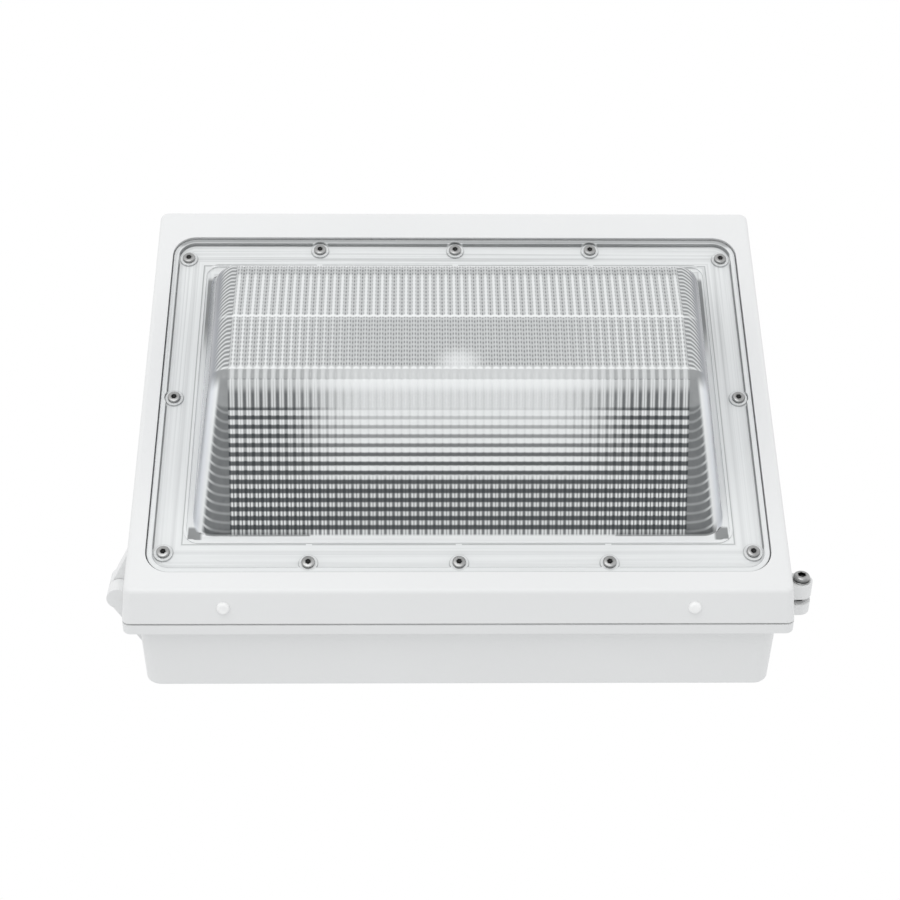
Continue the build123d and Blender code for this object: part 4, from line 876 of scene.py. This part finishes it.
def scatter_tree(name):
    """Sets a copy of an object on each point, turned about its axis by a seeded chance."""
    tree = NodeTree(name)
    template = tree.add_input("Piece", "NodeSocketObject")
    seed = tree.add_input("Seed", "NodeSocketInt")
    spread = tree.add_input("Turn", "NodeSocketFloat")
    tilt = tree.add_input("Tilt", "NodeSocketRotation")
    relative, local = {"transform_space": "RELATIVE"}, {"rotation_space": "LOCAL"}
    info = tree.node("GeometryNodeObjectInfo", relative, {"Object": template}, "Geometry")
    limits = {2: 0.0, 3: 1.0, "Seed": seed}
    chance = tree.node("FunctionNodeRandomValue", {"data_type": "FLOAT"}, limits, out=1)
    turn = tree.node("ShaderNodeCombineXYZ", sockets={"Z": tree.maths("MULTIPLY", chance, spread)})
    about = tree.node("FunctionNodeEulerToRotation", sockets={"Euler": turn})
    turned = tree.node("FunctionNodeRotateRotation", local, {"Rotation": tilt, "Rotate By": about})
    sockets = {"Points": tree.given("Geometry"), "Instance": info, "Rotation": turned}
    copies = tree.node("GeometryNodeInstanceOnPoints", sockets=sockets)
    tree.finish(copies, tree.add_input("Finish", "NodeSocketMaterial"))
    return tree


def scattered(name, shape, places, finish, seed=0, turn=0.0):
    """One mesh of copies of a shape in millimetres, standing out of the sloping face's plane."""
    bmesh.ops.scale(shape, vec=(MM, MM, MM), verts=shape.verts)
    template = bpy.data.objects.new(name, mesh_from(name, shape))
    points = bpy.data.meshes.new(name + " places")
    points.from_pydata([tuple(place) for place in places], [], [])
    outwards = Matrix((Vector((1, 0, 0)), UP_FACE, OFF_FACE)).transposed()
    tilt = tuple(outwards.to_euler())
    values = {"Piece": template, "Seed": seed, "Turn": turn, "Tilt": tilt, "Finish": finish}
    mesh = scatter_tree(name).run(points, name, values)
    bpy.data.objects.remove(template)
    return mesh


# ---------------------------------------------------------------- settings
def colour_setting(name, description, default):
    return bpy.props.FloatVectorProperty(
        name=name, description=description, subtype="COLOR", size=3, min=0.0, max=1.0, default=default
    )


def number_setting(name, description, default, **limits):
    return bpy.props.FloatProperty(name=name, description=description, default=default, **limits)


class CoatSettings(bpy.types.PropertyGroup):
    """Finish of the two castings."""

    colour: colour_setting("Colour", "Colour of the powder coat", (0.803, 0.807, 0.806))
    roughness: number_setting("Roughness", "Roughness of the coat", 0.42, subtype="FACTOR", min=0.0, max=1.0)
    peel: number_setting("Orange peel", "Height of the orange peel in millimetres", 0.02, min=0.0)


class LensSettings(bpy.types.PropertyGroup):
    """Sizes and colour of the clear lens, in millimetres."""

    flute_pitch: number_setting("Flute pitch", "Distance between the flutes outside", 4.5, min=2.0)
    flute_depth: number_setting("Flute depth", "Depth of the flutes", 0.7, min=0.0, max=1.5)
    near_pitch: number_setting("Near rib pitch", "Distance between the ribs of the near facet", 5.1, min=2.0)
    upper_pitch: number_setting("Upper rib pitch", "Distance between the ribs of the upper facets", 2.9, min=1.5)
    rib_depth: number_setting("Rib depth", "Depth of the near ribs inside", 0.8, min=0.0, max=1.5)
    upper_rib_depth: number_setting("Upper rib depth", "Depth of the upper ribs inside", 0.5, min=0.0, max=1.5)
    side_round: number_setting("Side rounding", "Reach of the rounding between facets and sides", 12.0, min=2.0)
    wall: number_setting("Wall", "Thickness of the bulge", 3.2, min=1.5)
    tint: colour_setting("Tint", "Tint of the clear plastic", (0.985, 0.99, 0.99))
    # Shade and Glint: colours of the painted shade and the painted light on the prisms and flange
    shade: colour_setting("Shade", "Colour of the prisms where they show the dark hollow", (0.03, 0.036, 0.04))
    glint: colour_setting("Glint", "Colour of the prisms where they show the sky", (0.93, 0.945, 0.945))


class HardwareSettings(bpy.types.PropertyGroup):
    """Sizes of the screws in millimetres, and the colour of their steel."""

    head: number_setting("Head", "Radius of a lens screw's head", 3.7, min=1.0)
    height: number_setting("Height", "Height of a lens screw's head", 1.8, min=0.5)
    steel: colour_setting("Steel", "Colour of the stainless steel", (0.43, 0.432, 0.43))
    seed: bpy.props.IntProperty(name="Seed", description="Chance of the turn of each screw", default=7)


class EngineSettings(bpy.types.PropertyGroup):
    """Sizes of the chips in millimetres, and the colours of the light engine."""

    phosphor: colour_setting("Phosphor", "Colour of the chips", (0.84, 0.72, 0.33))
    chip_size: number_setting("Chip size", "Side of a chip", 5.0)
    chip_height: number_setting("Chip height", "Height of a chip", 0.9)
    tray: colour_setting("Tray", "Colour of the tray", (0.78, 0.79, 0.79))


class StageSettings(bpy.types.PropertyGroup):
    """Floor and light."""

    level: number_setting("Floor", "Height of the floor", -1.35, subtype="DISTANCE", unit="LENGTH")
    daylight: number_setting("Daylight", "Strength of the light all round", 0.91, min=0.0)
    front: number_setting("Front light", "Power of the soft lamp in front", 7.6, subtype="POWER", min=0.0)


# ---------------------------------------------------------------- operators
# The camera looks up at the light from below, turned a little to the right. Places are in metres.
CAMERA_PLACE = (-0.0209, -0.6696, -0.8913)
CAMERA_AHEAD, CAMERA_UP = Vector((0, 0.5505, 0.8348)), Vector((0, -0.8348, 0.5505))
CAMERA_TURN = math.radians(0.926)
CAMERA_LENS, CAMERA_SENSOR = 72.0, 36.0
LAMP_PLACE, LAMP_AIM, LAMP_SIZE = Vector((-0.3, -1.7, -0.7)), Vector((0.0, -0.1, 0.0)), 1.4
SKY, WHITE = (0.985, 0.992, 1.0), (1.0, 1.0, 1.0)


class WALLPACK_OT_stage(bpy.types.Operator):
    """Sets the camera, the floor and the light"""

    bl_idname = "wall_pack.stage"
    bl_label = "Stage"

    def execute(self, context):
        settings = context.scene.wall_pack_stage
        eye = bpy.data.cameras.new("camera")
        eye.lens, eye.sensor_width = CAMERA_LENS, CAMERA_SENSOR
        eye.clip_start, eye.clip_end = 0.01, 50.0
        camera = linked("camera", eye)
        level = Vector((1, 0, 0))
        forward = math.cos(CAMERA_TURN) * CAMERA_AHEAD + math.sin(CAMERA_TURN) * level
        right = math.cos(CAMERA_TURN) * level - math.sin(CAMERA_TURN) * CAMERA_AHEAD
        turned = Matrix((right, CAMERA_UP, -forward)).transposed()
        camera.matrix_world = Matrix.Translation(CAMERA_PLACE) @ turned.to_4x4()
        context.scene.camera = camera

        bulb = bpy.data.lights.new("front light", "AREA")
        bulb.shape, bulb.size, bulb.energy = "DISK", LAMP_SIZE, settings.front
        lamp = linked("front light", bulb)
        aim = (LAMP_AIM - LAMP_PLACE).to_track_quat("-Z", "Y").to_matrix().to_4x4()
        lamp.matrix_world = Matrix.Translation(LAMP_PLACE) @ aim

        shape = bmesh.new()
        bmesh.ops.create_grid(shape, x_segments=24, y_segments=24, size=3.0)
        for vert in shape.verts:
            vert.co.z = settings.level
        floor = linked("floor", mesh_from("floor", shape))
        wear(floor, self.floor_finish())
        self.light_up(context, settings.daylight)
        context.scene.view_settings.view_transform = "Standard"
        return {"FINISHED"}

    def light_up(self, context, daylight):
        """A pale sky that is plain white where it is seen, mirrored or seen through the lens."""
        world = bpy.data.worlds.new("studio")
        context.scene.world = world
        world.use_nodes = True
        tree = world.node_tree
        tree.nodes.clear()
        path = new_node(tree, "ShaderNodeLightPath")
        seen = Signal(tree, path.outputs["Is Camera Ray"])
        for ray in ("Is Glossy Ray", "Is Transmission Ray"):
            seen = seen.most(Signal(tree, path.outputs[ray]))
        light, white = (
            new_node(tree, "ShaderNodeBackground", sockets={"Color": colour, "Strength": strength}).outputs[0]
            for colour, strength in ((SKY, daylight), (WHITE, 1.0))
        )
        mix = new_node(tree, "ShaderNodeMixShader", sockets={0: seen, 1: light, 2: white})
        new_node(tree, "ShaderNodeOutputWorld", sockets={"Surface": mix.outputs[0]})

    def floor_finish(self):
        finish = Finish("studio floor")
        cloud = finish.noise(3.0, 3.0)
        finish.surface(
            base_color=finish.blend(cloud, (0.86, 0.865, 0.865), (0.89, 0.89, 0.89)),
            roughness=0.85 + 0.1 * cloud,
        )
        return finish.material


class WALLPACK_OT_castings(bpy.types.Operator):
    """Coats the back box and the door"""

    bl_idname = "wall_pack.castings"
    bl_label = "Castings"

    def execute(self, context):
        settings = context.scene.wall_pack_coat
        coat = powder_coat(tuple(settings.colour), settings.roughness, settings.peel)
        dress(coat, "back_box", "door_frame")
        return {"FINISHED"}


class WALLPACK_OT_lens(bpy.types.Operator):
    """Makes the clear lens with its flutes and ribs"""

    bl_idname = "wall_pack.lens"
    bl_label = "Lens"

    def execute(self, context):
        sizes = context.scene.wall_pack_lens
        values = {
            "Flute pitch": sizes.flute_pitch,
            "Flute depth": sizes.flute_depth,
            "Near rib pitch": sizes.near_pitch,
            "Rib depth": sizes.rib_depth,
            "Upper rib pitch": sizes.upper_pitch,
            "Upper rib depth": sizes.upper_rib_depth,
            "Finish": clear_moulding(sizes),
        }
        mesh = prism_tree().run(lens_mesh(sizes), "lens", values)
        piece = place_piece("clear_lens", mesh, "door", ["lens"])
        if len(piece.data.polygons) < 10000:
            raise RuntimeError("the lens came out without its prisms")
        return {"FINISHED"}


# The latch bolts, in millimetres: their heads stand a hair off the washers.
LATCH_SIDE, LATCH_LEVEL = 189.8, 101.0
BOLT_HEIGHT, BOLT_SEAT = 2.96, 2.97


class WALLPACK_OT_screws(bpy.types.Operator):
    """Makes the lens screws and the latch screws"""

    bl_idname = "wall_pack.screws"
    bl_label = "Screws"

    def execute(self, context):
        settings = context.scene.wall_pack_hardware
        steel = turned_steel("stainless steel", tuple(settings.steel), 0.3)
        shape = screw_shape(
            settings.head, settings.height, flats=2.8, depth=1.0, shank=1.95, length=12.0, pitch=0.7, steps=24
        )
        places = off_face(*zip(*SCREW_PLACES), HEAD_SEAT)
        mesh = scattered("lens_screws", shape, places, steel, settings.seed, 2 * math.pi)
        place_piece("button_screws", mesh, "door", ["lens_screws"])

        for name, level in (("lower", -LATCH_LEVEL), ("upper", LATCH_LEVEL)):
            node = f"latch_screw_{name}"
            low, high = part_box(node)
            length = (high[1] - low[1]) / MM - 3.0
            shape = screw_shape(4.5, BOLT_HEIGHT, flats=4.0, depth=2.0, shank=2.15, length=length, pitch=0.8)
            turn = Matrix.Rotation(math.radians(90), 4, "X")
            shift = Matrix.Translation((LATCH_SIDE * MM, low[1] + BOLT_SEAT * MM, level * MM))
            bmesh.ops.transform(shape, matrix=shift @ turn @ Matrix.Scale(MM, 4), verts=shape.verts)
            piece = place_piece(f"latch_bolt_{name}", mesh_from(node, shape), node, [node])
            wear(piece, steel)
        dress(steel, "latch_washer_lower", "latch_washer_upper", "latch_retainers")
        dress(steel, "hinge_pins", "hinge_clips")
        return {"FINISHED"}


class WALLPACK_OT_seals(bpy.types.Operator):
    """Finishes the seals and the moulded plugs"""

    bl_idname = "wall_pack.seals"
    bl_label = "Seals and plugs"

    def execute(self, context):
        dress(moulded("grey silicone", (0.52, 0.53, 0.53), 0.62, 0.015, 0.1), "box_gasket")
        dress(moulded("pale silicone strip", (0.9, 0.905, 0.905), 0.55, 0.015, 0.1), "lens_gasket")
        dress(moulded("black rubber", (0.045, 0.045, 0.048), 0.6, 0.02, 0.15), "conduit_plug_seals")
        nylon = moulded("white nylon", (0.93, 0.93, 0.925), 0.36, 0.012)
        dress(nylon, "weep_plugs", "conduit_plug_left", "conduit_plug_right", "conduit_plug_top")
        return {"FINISHED"}


CHIP_COLUMNS, CHIP_PITCH_X, CHIP_PITCH_V = 12, 17.0, 18.0


class WALLPACK_OT_engine(bpy.types.Operator):
    """Finishes the tray, the light engine and the driver"""

    bl_idname = "wall_pack.engine"
    bl_label = "Light engine"

    def execute(self, context):
        settings = context.scene.wall_pack_engine
        dress(powder_coat(tuple(settings.tray), 0.5, 0.015, "white coated sheet"), "gear_tray")
        dress(rolled_sheet("mill finish aluminium", (0.66, 0.67, 0.68), 0.42), "led_bracket")
        dress(rolled_sheet("bright aluminium", (0.8, 0.81, 0.82), 0.16), "reflector")
        dress(rolled_sheet("satin case", (0.55, 0.56, 0.57), 0.38), "driver")
        dress(moulded("thermal pad", (0.4, 0.42, 0.44), 0.7, 0.02), "thermal_pad")
        dress(solder_mask(), "led_board")
        low, high = (Vector(corner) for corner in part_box("led_chips"))
        foot = (low + high) / 2 - OFF_FACE * settings.chip_height / 2 * MM
        grid = [
            tuple(foot + Vector((column * CHIP_PITCH_X * MM, 0, 0)) + UP_FACE * row * CHIP_PITCH_V * MM)
            for column in np.arange(CHIP_COLUMNS) - (CHIP_COLUMNS - 1) / 2
            for row in (-1, 0, 1)
        ]
        shape = chip_shape(settings.chip_size, settings.chip_height)
        mesh = scattered("led_chips", shape, grid, chip_finish(tuple(settings.phosphor)))
        place_piece("phosphor_chips", mesh, "housing", ["led_chips"])
        dress(moulded("natural nylon", (0.78, 0.77, 0.72), 0.42, 0.012), "terminal_block")
        dress(moulded("connector nylon", (0.84, 0.84, 0.83), 0.4, 0.01), "board_connector")
        zinc = turned_steel("zinc plated steel", (0.62, 0.63, 0.66), 0.34)
        dress(zinc, "gear_tray_screws", "led_bracket_screws", "led_board_screws", "reflector_screws")
        dress(zinc, "driver_screws", "terminal_clamps", "terminal_screws")
        dress(turned_steel("brass", (0.72, 0.55, 0.26), 0.3), "earth_screw")
        return {"FINISHED"}


class WALLPACK_PT_panel(bpy.types.Panel):
    """Lists the steps that build the light"""

    bl_label = "Wall Pack Light"
    bl_space_type = "VIEW_3D"
    bl_region_type = "UI"
    bl_category = "Wall Pack"

    def draw(self, context):
        for step in STEPS:
            self.layout.operator(step.bl_idname)
        for name in SETTINGS:
            box = self.layout.box()
            group = getattr(context.scene, name)
            for part in type(group).__annotations__:
                box.prop(group, part)


SETTINGS = {
    "wall_pack_stage": StageSettings,
    "wall_pack_coat": CoatSettings,
    "wall_pack_lens": LensSettings,
    "wall_pack_hardware": HardwareSettings,
    "wall_pack_engine": EngineSettings,
}
STEPS = (
    WALLPACK_OT_stage,
    WALLPACK_OT_castings,
    WALLPACK_OT_lens,
    WALLPACK_OT_screws,
    WALLPACK_OT_seals,
    WALLPACK_OT_engine,
)


def register():
    for name, group in SETTINGS.items():
        bpy.utils.register_class(group)
        setattr(bpy.types.Scene, name, bpy.props.PointerProperty(type=group))
    for step in (*STEPS, WALLPACK_PT_panel):
        bpy.utils.register_class(step)


def unregister():
    for step in (WALLPACK_PT_panel, *reversed(STEPS)):
        bpy.utils.unregister_class(step)
    for name, group in SETTINGS.items():
        delattr(bpy.types.Scene, name)
        bpy.utils.unregister_class(group)


def main():
    register()
    bpy.ops.wall_pack.stage()
    bpy.ops.wall_pack.castings()
    bpy.ops.wall_pack.lens()
    bpy.ops.wall_pack.screws()
    bpy.ops.wall_pack.seals()
    bpy.ops.wall_pack.engine()


if __name__ == "__main__":
    main()
